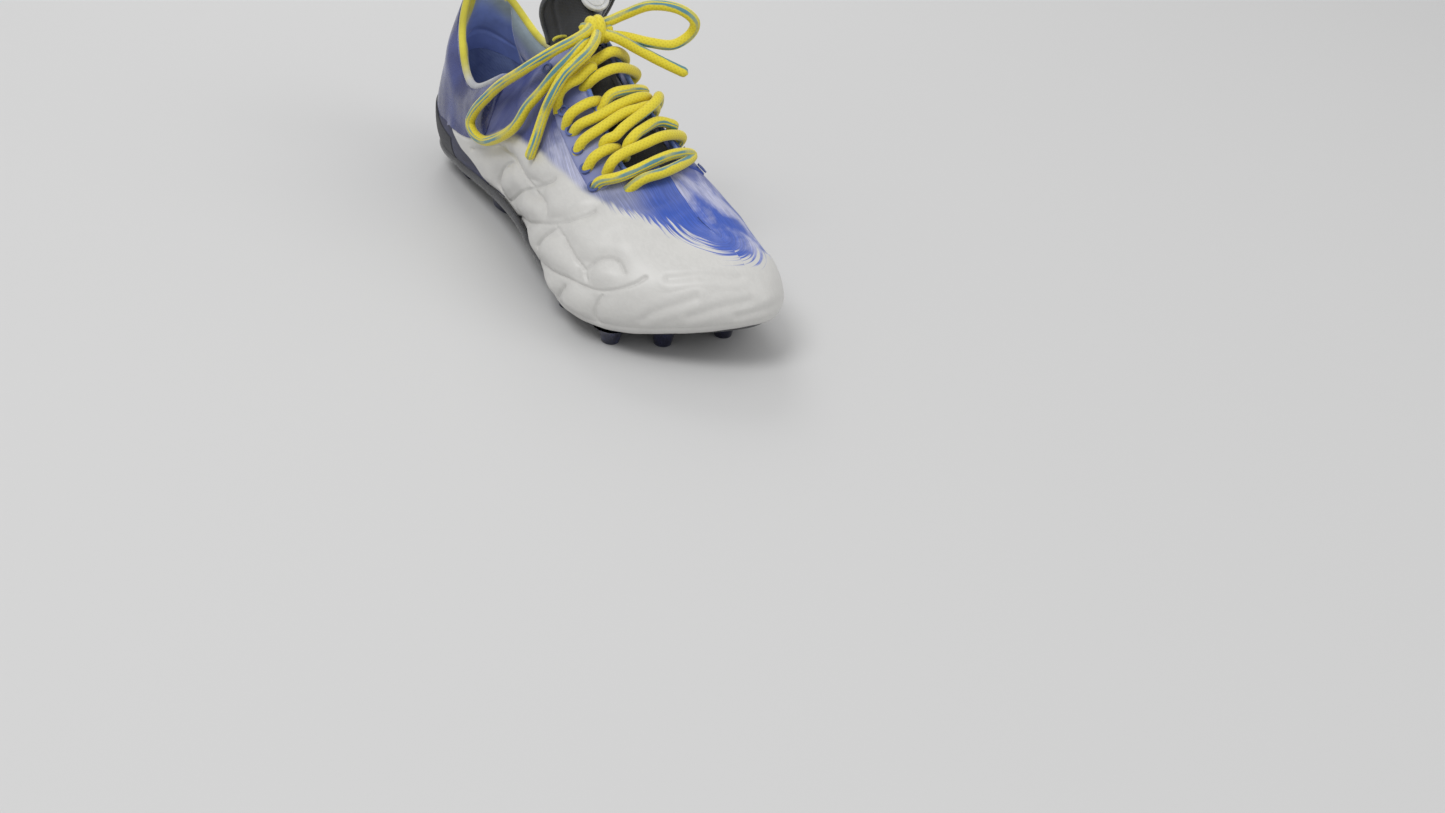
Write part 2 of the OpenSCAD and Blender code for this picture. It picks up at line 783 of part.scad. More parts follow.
module lace_end_lateral() {
    bow_part(lateral_end, [1, 0.3, 0], 16);
}

module lace_end_medial() {
    bow_part(medial_end, [0, 0, 1], 14);
}

outsole_heel_plate();
outsole_forefoot_plate();
arch_shank();
heel_studs_rear();
heel_studs_front();
ball_studs();
toe_studs();
insole_board_heel();
insole_board_forefoot();
sockliner_heel();
sockliner_forefoot();
heel_cup();
heel_counter();
heel_quarter();
lateral_quarter();
lateral_saddle();
medial_quarter();
medial_rand();
lateral_rand();
vamp();
vamp_front();
toe_cap();
toe_puff();
forefoot_lining();
quarter_lining();
collar_pad_lateral();
collar_pad_medial();
heel_tab_lining();
collar_binding();
eyestay_lateral();
eyestay_medial();
eyelets();
tongue();
tongue_bend();
tongue_top();
tongue_badge();
tongue_piping();
tongue_loop();
lace_ladder();
lace_knot();
lace_loop_lateral();
lace_loop_medial();
lace_end_lateral();
lace_end_medial();
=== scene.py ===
import math
import bpy
import numpy as np
from mathutils import Matrix, Vector


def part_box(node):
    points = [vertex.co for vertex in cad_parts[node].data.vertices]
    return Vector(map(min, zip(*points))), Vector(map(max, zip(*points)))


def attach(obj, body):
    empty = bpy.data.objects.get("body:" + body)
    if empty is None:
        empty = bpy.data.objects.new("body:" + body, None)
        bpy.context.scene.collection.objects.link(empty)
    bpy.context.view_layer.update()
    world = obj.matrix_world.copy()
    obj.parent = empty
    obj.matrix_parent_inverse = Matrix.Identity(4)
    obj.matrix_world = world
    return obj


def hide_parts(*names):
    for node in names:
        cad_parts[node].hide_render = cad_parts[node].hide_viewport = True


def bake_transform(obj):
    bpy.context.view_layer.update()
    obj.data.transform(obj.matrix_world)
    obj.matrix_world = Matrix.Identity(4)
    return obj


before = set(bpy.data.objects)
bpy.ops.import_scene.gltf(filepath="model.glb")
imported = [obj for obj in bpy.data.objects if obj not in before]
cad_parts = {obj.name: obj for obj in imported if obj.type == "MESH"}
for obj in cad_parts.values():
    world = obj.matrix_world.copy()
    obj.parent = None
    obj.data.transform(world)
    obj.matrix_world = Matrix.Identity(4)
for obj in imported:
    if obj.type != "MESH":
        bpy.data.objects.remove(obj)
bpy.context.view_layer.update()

# ---- shoe frame: millimetres from the heel datum, X to the toe, Y inwards, Z up ----
SHANK_LOW, SHANK_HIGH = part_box("arch_shank")
SHIFT = np.array([92 - 1000 * SHANK_LOW[0], -2 - 500 * (SHANK_LOW[1] + SHANK_HIGH[1]), 0.0])


def row(points):
    """Points in millimetres from the heel datum, as metres in the row frame."""
    return (np.asarray(points, float) - SHIFT) / 1000


FEATHER_STEP = 35
FEATHER = np.array([15, 15, 17.3, 20, 20.3, 16.5, 13.5, 17, 27.5, 45])
# Stations from the toe by the outer side to the heel and back:
# edge x, edge y, top x, top y, top z, dome 1 or wall 0, fullness
STATIONS = np.array([
    [284, 13, 241, 10, 57, 1, 2], [272, -15, 237, 10, 57, 1, 3], [246, -42, 228, 9, 59, 1, 5],
    [214, -53, 207, 9, 66, 1, 6], [180, -48, 182, 8, 79, 1, 6], [145, -39, 155, 7, 95, 1, 5],
    [110, -33, 124, 5, 113, 1, 4], [78, -30, 90, -26, 84, 0.2, 5], [44, -28, 46, -25, 62, 0, 6],
    [14, -23, 13, -15, 84, 0, 6.5], [2, 0, 2, 0, 106, 0, 5.5], [14, 23, 13, 15, 95, 0, 6],
    [44, 30, 46, 21, 80, 0, 5], [78, 28, 90, 24, 86, 0.2, 5], [110, 26, 124, 5, 113, 1, 4],
    [145, 30, 155, 7, 95, 1, 4], [180, 42, 182, 8, 79, 1, 4], [214, 48, 207, 9, 66, 1, 5],
    [247, 42, 228, 9, 59, 1, 5], [273, 33, 237, 10, 57, 1, 3]], float)
STATION_COUNT = len(STATIONS)
# Step for slopes over the skin, in stations and in shares
STEP = 0.01
PANEL_T = 1.4
CURL_SHARE, CURL_IN, CURL_DOWN = 0.12, 7.0, 5.8
THROAT_TOP = 0.8


def smooth_curve(a, b, c, d, f):
    return 0.5 * (2 * b + (c - a) * f + (2 * a - 5 * b + 4 * c - d) * f ** 2
                  + (3 * b - a - 3 * c + d) * f ** 3)


def station(s):
    i = np.floor(s).astype(int)
    near = [STATIONS[(i + k) % STATION_COUNT] for k in (-1, 0, 1, 2)]
    return smooth_curve(*near, (s - i)[..., None])


def spline(points, u):
    """Smooth curve through the points, u from 0 to 1."""
    points = np.asarray(points, float)
    last = len(points) - 1
    g = np.clip(np.asarray(u, float), 0, 1) * last
    i = np.minimum(np.floor(g).astype(int), last - 1)
    f = g - i
    near = [points[np.clip(i + k, 0, last)] for k in (-1, 0, 1, 2)]
    return smooth_curve(*near, f if points.ndim == 1 else f[..., None])


def feather(x):
    """Height of the edge where upper meets sole."""
    return spline(FEATHER, x / FEATHER_STEP / (len(FEATHER) - 1))


def unit(v):
    return v / np.maximum(np.linalg.norm(v, axis=-1, keepdims=True), 1e-9)


def mix(a, b, f):
    return a + (b - a) * f


def ramp(x, low, high):
    """0 below low, 1 above high, smooth between them."""
    f = np.clip((x - low) / (high - low), 0, 1)
    return f * f * (3 - 2 * f)


def bell(x, width):
    """1 at 0, falling smoothly to 0 over a few widths either side."""
    return np.exp(-(x / width) ** 2)


def edge_out(s):
    d = station(s + STEP) - station(s - STEP)
    return unit(np.stack([-d[..., 1], d[..., 0]], -1))


def skin(s, t):
    """Point on the outer skin: s goes round the shoe, t from the sole edge to the top."""
    s, t = np.broadcast_arrays(np.asarray(s, float), np.asarray(t, float))
    v = station(s)
    dome = np.clip(v[..., 5], 0, 1)
    over = np.maximum(t, 0)
    across = dome * (1 - np.cos(np.pi / 2 * over)) + (1 - dome) * over
    up = dome * np.sin(np.pi / 2 * over) + (1 - dome) * over
    full = v[..., 6] * np.sin(np.pi * np.clip(t, 0, 1) ** 0.75)
    flat = v[..., 0:2] + (v[..., 2:4] - v[..., 0:2]) * across[..., None]
    flat = flat + edge_out(s) * full[..., None]
    foot = feather(v[..., 0])
    # Below the edge (t under 0) the skin curls in under the foot
    curl = np.clip(-t / CURL_SHARE, 0, 1) * np.pi / 2
    flat = flat - edge_out(s) * (CURL_IN * (1 - np.cos(curl)))[..., None]
    foot = foot - CURL_DOWN * np.clip((v[..., 0] - 150) / 50, 0, 1) * np.sin(curl)
    return np.concatenate([flat, (foot + (v[..., 4] - foot) * up)[..., None]], -1)


def skin_out(s, t):
    s, t = np.broadcast_arrays(np.asarray(s, float), np.asarray(t, float))
    a = np.clip(t, STEP - CURL_SHARE, 1 - STEP)
    rise = skin(s, a + STEP) - skin(s, a - STEP)
    return unit(np.cross(rise, skin(s + STEP, a) - skin(s - STEP, a)))


def layer(s, t, depth):
    """Point at a depth above (+) or below (-) the outer skin."""
    return skin(s, t) + np.asarray(depth, float)[..., None] * skin_out(s, t)


def on_skin(line, depth=0.0, steps=200, inner_side=False):
    """Curve over the skin through (station, share) places."""
    line = spline(np.array(line, float), np.linspace(0, 1, steps))
    s = STATION_COUNT - line[:, 0] if inner_side else line[:, 0]
    return layer(s, line[:, 1], depth)


# ---- camera ----

CAMERA_AT = [992.5, -510.4, 503.1]
CAMERA_YAW, CAMERA_PITCH, CAMERA_ROLL = (math.radians(d) for d in (144.36, -30.79, 6.71))
LENS = 51.73
aim = np.array([math.cos(CAMERA_PITCH) * math.cos(CAMERA_YAW),
                math.cos(CAMERA_PITCH) * math.sin(CAMERA_YAW), math.sin(CAMERA_PITCH)])
level = unit(np.cross(aim, [0, 0, 1]))
upright = np.cross(level, aim)
right = math.cos(CAMERA_ROLL) * level + math.sin(CAMERA_ROLL) * upright
up = math.cos(CAMERA_ROLL) * upright - math.sin(CAMERA_ROLL) * level
camera = bpy.data.objects.new("camera", bpy.data.cameras.new("camera"))
camera.data.lens = LENS
camera.data.sensor_width = 36
camera.data.clip_start = 0.05
turn = Matrix([[right[i], up[i], -aim[i]] for i in range(3)]).to_4x4()
camera.matrix_world = Matrix.Translation(Vector(row(CAMERA_AT))) @ turn
bpy.context.collection.objects.link(camera)
bpy.context.scene.camera = camera

# ---- materials ----


class Graph:
    """A procedural material, built node by node."""

    def __init__(self, name, **settings):
        self.material = bpy.data.materials.new(name)
        self.material.use_nodes = True
        self.tree = self.material.node_tree
        self.surface = self.tree.nodes["Principled BSDF"]
        for key, value in settings.items():
            self.surface.inputs[key.replace("_", " ")].default_value = value

    def add(self, kind, inputs=(), **properties):
        node = self.tree.nodes.new(kind)
        for key, value in properties.items():
            setattr(node, key, value)
        for key, value in dict(inputs).items():
            self.feed(node.inputs[key], value)
        return node

    def feed(self, socket, value):
        if isinstance(value, bpy.types.NodeSocket):
            self.tree.links.new(value, socket)
        else:
            socket.default_value = value

    def attribute(self, name, output="Fac"):
        return self.add("ShaderNodeAttribute", attribute_name=name).outputs[output]

    def place(self):
        """Object coordinates in metres."""
        return self.add("ShaderNodeTexCoord").outputs["Object"]

    def scaled(self, vector, scale):
        return self.add("ShaderNodeMapping", {"Vector": vector, "Scale": scale}).outputs[0]

    def noise(self, vector, scale, detail=3.0, rough=0.5, distort=0.0):
        return self.add("ShaderNodeTexNoise", {
            "Vector": vector, "Scale": scale, "Detail": detail, "Roughness": rough,
            "Distortion": distort}).outputs["Fac"]

    def cells(self, vector, scale):
        node = self.add("ShaderNodeTexVoronoi", {"Vector": vector, "Scale": scale})
        return node.outputs["Distance"]

    def maths(self, operation, a, b=0.0):
        node = self.add("ShaderNodeMath", operation=operation)
        self.feed(node.inputs[0], a)
        self.feed(node.inputs[1], b)
        return node.outputs[0]

    def fit(self, value, low, high, to_low=0.0, to_high=1.0):
        return self.add("ShaderNodeMapRange", {
            "Value": value, "From Min": low, "From Max": high, "To Min": to_low,
            "To Max": to_high}, interpolation_type="SMOOTHSTEP").outputs["Result"]

    def blend(self, factor, a, b):
        node = self.add("ShaderNodeMix", data_type="RGBA")
        self.feed(node.inputs[0], factor)
        self.feed(node.inputs[6], a if isinstance(a, bpy.types.NodeSocket) else (*a, 1))
        self.feed(node.inputs[7], b if isinstance(b, bpy.types.NodeSocket) else (*b, 1))
        return node.outputs[2]

    def bump(self, height, distance, strength=1.0, normal=None):
        node = self.add("ShaderNodeBump", {
            "Height": height, "Distance": distance, "Strength": strength})
        if normal is not None:
            self.feed(node.inputs["Normal"], normal)
        return node.outputs[0]

    def finish(self, color, rough=None, normal=None):
        self.feed(self.surface.inputs["Base Color"], color)
        if rough is not None:
            self.feed(self.surface.inputs["Roughness"], rough)
        if normal is not None:
            self.feed(self.surface.inputs["Normal"], normal)
        return self.material


def srgb(r, g, b):
    """Linear colour from 8-bit screen values."""
    return tuple(c / 12.92 if c <= 0.04045 else ((c + 0.055) / 1.055) ** 2.4
                 for c in (r / 255, g / 255, b / 255))


def leather_grain(g, wrinkle=0.35, crease=0.4):
    """Pores and fine creases of smooth leather."""
    at = g.place()
    pores = g.cells(at, 1300)
    creases = g.noise(g.scaled(at, (1, 2.2, 2.2)), 190, 5.0, 0.62, 1.2)
    folds = g.noise(at, 70, 2.0, 0.5, 0.6)
    first = g.bump(folds, 0.0007, wrinkle)
    second = g.bump(creases, 0.0003, crease, first)
    return g.bump(pores, 0.00012, crease, second), creases


def painted_leather():
    """White leather with colour brushed on over an edge, strokes running along the shoe."""
    g = Graph("painted_leather", Coat_Weight=0.12, Coat_Roughness=0.3)
    normal, creases = leather_grain(g, 0.2, 0.18)
    lay = g.attribute("lay", "Vector")
    edge = g.attribute("edge")
    tint = g.attribute("tint", "Color")
    pale = g.attribute("pale")
    strokes = g.noise(g.scaled(lay, (0.018, 0.62, 1)), 1.0, 5.0, 0.62, 0.25)
    fine = g.noise(g.scaled(lay, (0.05, 1.9, 1)), 1.0, 3.0, 0.6)
    brush = g.attribute("brush")
    reach = g.maths("ADD", g.maths("MULTIPLY", g.maths("SUBTRACT", strokes, 0.5), 34.0),
                    g.maths("MULTIPLY", g.maths("SUBTRACT", fine, 0.5), 12.0))
    cover = g.fit(g.maths("ADD", edge, g.maths("MULTIPLY", reach, brush)), -1.0, 3.0)
    cloud = g.noise(g.scaled(lay, (0.04, 0.06, 1)), 1.0, 4.0, 0.55, 0.35)
    patch = g.maths("MULTIPLY", g.fit(cloud, 0.4, 0.66), pale)
    streak = g.fit(fine, 0.35, 0.75, 0.78, 1.18)
    inked = g.blend(patch, tint, srgb(196, 198, 224))
    shaded = g.add("ShaderNodeHueSaturation", {"Color": inked, "Value": streak}).outputs[0]
    dirt = g.fit(creases, 0.3, 0.7)
    white = g.blend(dirt, srgb(203, 202, 199), srgb(208, 207, 204))
    color = g.blend(cover, white, shaded)
    return g.finish(color, g.fit(creases, 0.25, 0.75, 0.36, 0.5), normal)


def plain_leather(name, dark, light, rough=0.3, coat=0.3, wrinkle=0.35):
    """Leather of one colour, clouded, lighter along its creases."""
    g = Graph(name, Coat_Weight=coat, Coat_Roughness=0.16)
    normal, creases = leather_grain(g, wrinkle, 0.22)
    cloud = g.noise(g.place(), 30, 3.0, 0.5, 0.5)
    color = g.blend(g.fit(cloud, 0.35, 0.68), dark, light)
    color = g.blend(g.fit(creases, 0.62, 0.8, 0.0, 0.25), color, light)
    return g.finish(color, g.fit(creases, 0.25, 0.75, rough - 0.06, rough + 0.1), normal)


def plastic(name, dark, light, rough=0.22, coat=0.4):
    """Moulded plastic: faint flow marks and scuffs."""
    g = Graph(name, Coat_Weight=coat, Coat_Roughness=0.1)
    at = g.place()
    flow = g.noise(g.scaled(at, (1, 3, 3)), 40, 4.0, 0.6, 0.8)
    scuff = g.noise(g.scaled(at, (1, 6, 6)), 210, 6.0, 0.7, 0.5)
    color = g.blend(g.fit(flow, 0.35, 0.7), dark, light)
    rough_map = g.fit(scuff, 0.45, 0.72, rough, rough + 0.16)
    return g.finish(color, rough_map, g.bump(g.noise(at, 900, 2.0), 0.00005, 0.4))


def fabric(name, dark, light, weave=1500.0, rough=0.85, sheen=0.6):
    """Knitted or woven cloth: crossed threads with a soft nap."""
    g = Graph(name, Sheen_Weight=sheen, Sheen_Roughness=0.4)
    at = g.place()
    bands = [g.add("ShaderNodeTexWave", {"Vector": vector, "Scale": weave / 6, "Distortion": 0.6},
                   bands_direction="DIAGONAL") for vector in (at, g.scaled(at, (-1, 1, 1)))]
    thread = g.maths("MAXIMUM", bands[0].outputs["Fac"], bands[1].outputs["Fac"])
    nap = g.noise(at, 60, 4.0, 0.6, 0.8)
    color = g.blend(g.fit(nap, 0.3, 0.7), dark, light)
    color = g.blend(g.fit(thread, 0.5, 1.0, 0.0, 0.25), color, light)
    normal = g.bump(thread, 0.0002, 0.45, g.bump(nap, 0.0006, 0.25))
    return g.finish(color, g.fit(nap, 0.3, 0.7, rough - 0.08, rough + 0.06), normal)


def tinted_fabric(name, rough=0.8, sheen=0.9):
    """Velvet whose colour comes with the piece."""
    g = Graph(name, Sheen_Weight=sheen, Sheen_Roughness=0.35)
    at = g.place()
    nap = g.noise(at, 700, 4.0, 0.65, 0.4)
    cloud = g.noise(at, 45, 3.0, 0.55, 0.6)
    tint = g.attribute("tint", "Color")
    shade = g.fit(cloud, 0.3, 0.7, 0.82, 1.15)
    color = g.add("ShaderNodeHueSaturation", {"Color": tint, "Value": shade}).outputs[0]
    rough_map = g.fit(nap, 0.3, 0.7, rough - 0.1, rough + 0.05)
    return g.finish(color, rough_map, g.bump(nap, 0.0003, 0.5))


def braid(name, yellow, deep, streak):
    """Round woven lace: crossed strands, with a teal band painted along one side as its shading."""
    g = Graph(name, Sheen_Weight=0.35, Sheen_Roughness=0.4)
    weave = g.attribute("weave", "Vector")
    parts = g.add("ShaderNodeSeparateXYZ", {"Vector": weave})
    along, around = parts.outputs["X"], parts.outputs["Y"]
    turns = g.maths("MULTIPLY", around, 2 * math.pi * 7)
    run = g.maths("MULTIPLY", along, 2 * math.pi / 2.4)
    one = g.maths("SINE", g.maths("ADD", turns, run))
    two = g.maths("SINE", g.maths("SUBTRACT", turns, run))
    height = g.maths("MAXIMUM", one, two)
    fuzz = g.noise(g.place(), 1500, 3.0, 0.6)
    color = g.blend(g.fit(height, -0.6, 0.7), deep, yellow)
    # Painted shade: a patchy teal band along one side of the lace stands in for the blue-tinted
    # shading on the laces' edges
    wander = g.maths("SUBTRACT", g.noise(g.scaled(weave, (0.05, 0, 0)), 1.0, 2.0), 0.5)
    side = g.maths("PINGPONG", g.maths("ADD", around, g.maths("MULTIPLY", wander, 0.22)), 0.5)
    line = g.maths("SUBTRACT", 1.0, g.fit(side, 0.07, 0.11))
    patchy_shade = g.fit(g.noise(g.scaled(weave, (0.04, 0.2, 0)), 1.0, 2.0), 0.36, 0.55, 0.2, 0.9)
    color = g.blend(g.maths("MULTIPLY", line, patchy_shade), color, streak)
    normal = g.bump(height, 0.0001, 0.3, g.bump(fuzz, 0.0001, 0.3))
    return g.finish(color, g.fit(fuzz, 0.3, 0.7, 0.55, 0.75), normal)


def floor_paint():
    g = Graph("floor_paint", Roughness=0.9, Specular_IOR_Level=0.1)
    haze = g.noise(g.place(), 3.0, 2.0)
    return g.finish(g.blend(haze, (0.6, 0.6, 0.6), (0.61, 0.61, 0.61)))


BLUE = srgb(48, 86, 184)
PERIWINKLE = srgb(130, 137, 176)
SADDLE = srgb(74, 84, 146)
MEDIAL = srgb(104, 112, 168)
# Each recipe's materials: dark and light shade as 8-bit screen values, then its own settings
SHADES = {
    plain_leather: {
        "navy_leather": ((40, 46, 96), (66, 76, 136), 0.26, 0.45),
        "eyestay_leather": ((96, 106, 164), (146, 152, 190), 0.36, 0.2),
        "blue_leather": ((40, 66, 150), (72, 100, 184), 0.34, 0.2),
        "rand_white": ((188, 190, 192), (216, 217, 217), 0.3, 0.2, 0.2),
        "black_satin": ((34, 35, 38), (70, 72, 76), 0.25, 0.3)},
    plastic: {
        "rand_dark": ((28, 31, 60), (42, 47, 84), 0.45, 0.05),
        "cup_dark": ((24, 25, 33), (38, 40, 50), 0.5, 0.05),
        "sole_plastic": ((26, 27, 32), (46, 48, 54), 0.26, 0.3),
        "shank_plastic": ((18, 19, 23), (34, 36, 42), 0.3, 0.3),
        "stud_plastic": ((22, 24, 44), (40, 44, 76), 0.18, 0.6),
        "badge_plastic": ((196, 197, 198), (220, 221, 221), 0.3, 0.3),
        "eyelet_plastic": ((64, 80, 140), (92, 108, 170), 0.28, 0.3)},
    fabric: {
        "board": ((176, 168, 150), (206, 200, 184), 900.0, 0.9, 0.2),
        "sock_fabric": ((66, 78, 124), (96, 108, 156), 1500.0),
        "lining_fabric": ((90, 108, 164), (120, 138, 188), 1700.0),
        "yellow_fabric": ((168, 160, 44), (208, 200, 70), 1700.0),
        "black_fabric": ((24, 25, 28), (52, 53, 57), 1900.0, 0.62, 0.5),
        "blue_fabric": ((74, 98, 170), (112, 138, 204), 1700.0, 0.7)},
}
MATERIALS = {
    "white_leather": painted_leather(),
    "collar_velvet": tinted_fabric("collar_velvet"),
    # The lace's third colour is the teal painted shade along one side of each lace
    "lace_fabric": braid("lace_fabric", srgb(226, 210, 50), srgb(212, 195, 42), srgb(40, 126, 158)),
}
for recipe, shades in SHADES.items():
    for material_name, (dark, light, *settings) in shades.items():
        MATERIALS[material_name] = recipe(material_name, srgb(*dark), srgb(*light), *settings)

# ---- mesh helpers ----


def mesh_object(name, points, faces, material, floats=(), vectors=(), colors=(), merge=0.0):
    """A mesh piece from points in millimetres from the heel datum."""
    mesh = bpy.data.meshes.new(name)
    mesh.from_pydata(row(points).tolist(), [], [list(f) for f in faces])
    colors = {key: np.concatenate([rgb, np.ones((len(rgb), 1))], 1)
              for key, rgb in dict(colors).items()}
    for kind, slot, given in (("FLOAT", "value", floats), ("FLOAT_VECTOR", "vector", vectors),
                              ("FLOAT_COLOR", "color", colors)):
        for key, values in dict(given).items():
            mesh.attributes.new(key, kind, "POINT").data.foreach_set(slot, np.ravel(values))
    mesh.materials.append(MATERIALS[material])
    mesh.update()
    piece = bpy.data.objects.new(name, mesh)
    bpy.context.collection.objects.link(piece)
    if merge:
        import bmesh
        work = bmesh.new()
        work.from_mesh(mesh)
        bmesh.ops.remove_doubles(work, verts=work.verts, dist=merge / 1000)
        work.to_mesh(mesh)
        work.free()
    mesh.shade_smooth()
    mesh.set_sharp_from_angle(angle=math.radians(60))
    return piece


def grid_faces(rows, cols, first=0):
    i, j = np.meshgrid(np.arange(rows - 1), np.arange(cols - 1), indexing="ij")
    a = (first + i * cols + j).ravel()
    return np.stack([a, a + cols, a + cols + 1, a + 1], 1)


def border(rows, cols):
    """Indexes round a grid, the way its faces turn."""
    i = np.arange(rows * cols).reshape(rows, cols)
    return np.concatenate([i[0, :], i[1:, -1], i[-1, -2::-1], i[-2:0:-1, 0]])


def joined(parts):
    """Several (points, faces) pairs as one."""
    points, faces, first = [], [], 0
    for p, f in parts:
        points.append(p)
        faces.extend([[k + first for k in face] for face in f])
        first += len(p)
    return np.concatenate(points), faces


def solid(outer, inner):
    """Closed solid between two grids of points, as (points, faces)."""
    rows, cols = outer.shape[:2]
    points = np.concatenate([outer.reshape(-1, 3), inner.reshape(-1, 3)])
    top = grid_faces(rows, cols)
    low = grid_faces(rows, cols, rows * cols)[:, ::-1]
    ring = border(rows, cols)
    after = np.roll(ring, -1)
    wall = np.stack([ring, after, after + rows * cols, ring + rows * cols], 1)
    return points, np.concatenate([top, low, wall])


def rides(piece, body, nodes=()):
    """Set a piece on its body, or across the flexing ball of the foot."""
    if nodes:
        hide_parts(*nodes)
    if body == "flex":
        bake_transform(piece)
    else:
        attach(piece, body)
    return piece


def piece(name, points, faces, material, body, slot_name, nodes=None, **look):
    """A mesh piece on its body. It replaces the node of its own name unless nodes says others."""
    made = mesh_object(name, points, faces, material, **look)
    return rides(made, body, [name] if nodes is None else nodes)


def frames_along(points):
    """Tangent and two side directions at each point, carried along without twist."""
    run = unit(np.gradient(points, axis=0))
    side = np.zeros_like(points)
    start = np.array([0.3, 0.5, 1.0])
    side[0] = unit(start - run[0] * (start @ run[0]))
    for i in range(1, len(points)):
        side[i] = unit(side[i - 1] - run[i] * (side[i - 1] @ run[i]))
    return run, side, np.cross(run, side)


def even(points, spacing):
    """The same curve with evenly spaced points."""
    step = np.linalg.norm(np.diff(points, axis=0), axis=1)
    run = np.concatenate([[0], np.cumsum(step)])
    count = max(4, int(run[-1] / spacing) + 1)
    at = np.linspace(0, run[-1], count)
    return np.stack([np.interp(at, run, points[:, k]) for k in range(3)], 1), run[-1]


def tube(points, radius, sides=20, spacing=1.0):
    """Round tube with domed ends: points, faces and its weave coordinates (along, around)."""
    points, length = even(points, spacing)
    run, side, other = frames_along(points)
    along = np.linspace(0, length, len(points))
    near_end = np.clip(np.minimum(along, length - along) / radius, 0, 1)
    r = radius * np.sqrt(np.maximum(1 - (1 - near_end) ** 2, 0.02))
    angle = 2 * np.pi * np.arange(sides) / sides
    ring = (np.cos(angle)[None, :, None] * side[:, None]
            + np.sin(angle)[None, :, None] * other[:, None])
    body = points[:, None] + ring * r[:, None, None]
    rows = len(points)
    grid = grid_faces(rows, sides)
    wrap = np.arange(rows - 1) * sides
    close = np.stack([wrap + sides - 1, wrap + 2 * sides - 1, wrap + sides, wrap], 1)
    faces = [f[::-1] for f in np.concatenate([grid, close]).tolist()]
    faces.append(list(range(sides)))
    faces.append(list(range(rows * sides - 1, (rows - 1) * sides - 1, -1)))
    weave = np.zeros((rows, sides, 3))
    weave[..., 0] = along[:, None]
    weave[..., 1] = (np.arange(sides) / sides)[None]
    return body.reshape(-1, 3), faces, weave.reshape(-1, 3)


def lace_piece(name, curves):
    """Round laces along curves, held by the rear of the shoe."""
    tubes = [tube(curve, LACE_R) for curve in curves]
    points, faces = joined([(p, f) for p, f, _ in tubes])
    return piece(name, points, faces, "lace_fabric", "rear", "lace_fabric",
                 vectors={"weave": np.concatenate([w for _, _, w in tubes])})


# ---- laces: the free ones first ----

LACE_R = 2.7
FREE_LACES = {
    "lace_loop_lateral": [
        [128.5, 0, 122.5], [135, -7, 121.3], [134, -14, 117.2], [130, -20.7, 112],
        [123.4, -25.8, 105], [113.2, -31.1, 94.8], [97.3, -33.8, 81.7], [87.8, -36.6, 70.9],
        [79.7, -38, 61.6], [75.3, -39, 52.4], [80.8, -39.1, 47.8], [91, -37.7, 47.9],
        [109.3, -38.7, 58.1], [123.5, -37.9, 70.2], [128, -34.1, 82], [132, -29.2, 91.1],
        [136, -23.6, 102], [139.4, -17.6, 110.6], [139, -11, 116.2], [132.5, -1, 117.3]],
    "lace_loop_medial": [
        [127.8, 6.5, 122], [127, 13, 123], [129, 19, 126], [138, 28, 133], [148, 38, 134],
        [154, 45, 129], [152, 45, 121], [149, 37, 115], [143, 27, 115], [135, 16, 116.5],
        [131.5, 6.5, 117]],
    "lace_end_lateral": [
        [134, 0, 120.5], [142, -5.5, 119], [145.4, -12, 114.6], [144.4, -22.8, 104.9],
        [143.7, -29, 93.4], [141, -31, 84], [143.9, -36.7, 72], [144.9, -41.1, 60.9]],
    "lace_end_medial": [
        [132.5, 3, 119], [138.5, 9.5, 118], [143.5, 19.5, 112.5], [151.5, 29.5, 107.5],
        [161.5, 39.5, 103.5]],
}
for lace_name, route in FREE_LACES.items():
    path = spline(route, np.linspace(0, 1, 160))
    lace = lace_piece(lace_name, [path])

# ---- relief and paint of the upper ----

# Sewn lines of the quilted outer side, as (station, share) places
QUILT = [
    [(7.28, 0.27), (6.8, 0.28), (6.15, 0.21), (5.77, 0.21), (5.15, 0.23), (4.82, 0.26)],
    [(5.8, 0.18), (6.23, 0.11), (6.37, 0.04), (6.05, 0.01), (5.65, 0.05), (4.82, 0.26),
     (4.43, 0.39), (4.3, 0.45)],
    [(4.75, 0.26), (4.28, 0.32), (4.12, 0.31)],
    [(5.43, 0), (4.72, 0.1), (3.98, 0.28), (3.57, 0.41), (3.37, 0.51), (3.27, 0.58)],
    [(3.77, 0.33), (3.37, 0.36), (2.98, 0.34), (2.75, 0.32)],
    [(2.65, 0.27), (2.73, 0.32), (2.62, 0.42), (2.37, 0.47), (2.15, 0.42)],
    [(4.17, 0.1), (3.95, 0.21), (3.72, 0.32)],
    [(4.25, 0.01), (3.5, 0.13), (3.02, 0.2), (2.68, 0.22), (2.4, 0.24), (2.15, 0.29), (1.92, 0.37),
     (1.83, 0.43)],
    [(3.02, 0.14), (3.22, 0.02)],
    [(2.32, 0.22), (2.37, 0.13), (2.37, 0.04), (2.3, 0)],
]
TOE_FOLDS = [
    [(1.67, 0.09), (1.53, 0.17), (1.28, 0.24), (1.05, 0.3)],
    [(1.1, 0.12), (0.7, 0.2), (0.2, 0.24)],
    [(1.5, 0.45), (0.9, 0.5), (0.3, 0.47)],
    [(0.4, 0.08), (-0.3, 0.13), (-0.9, 0.12)],
]
INNER_FOLDS = [[(s, 0.27), (s - 0.12, 0.5), (s - 0.3, 0.74)] for s in np.arange(3.3, 6.1, 0.55)]
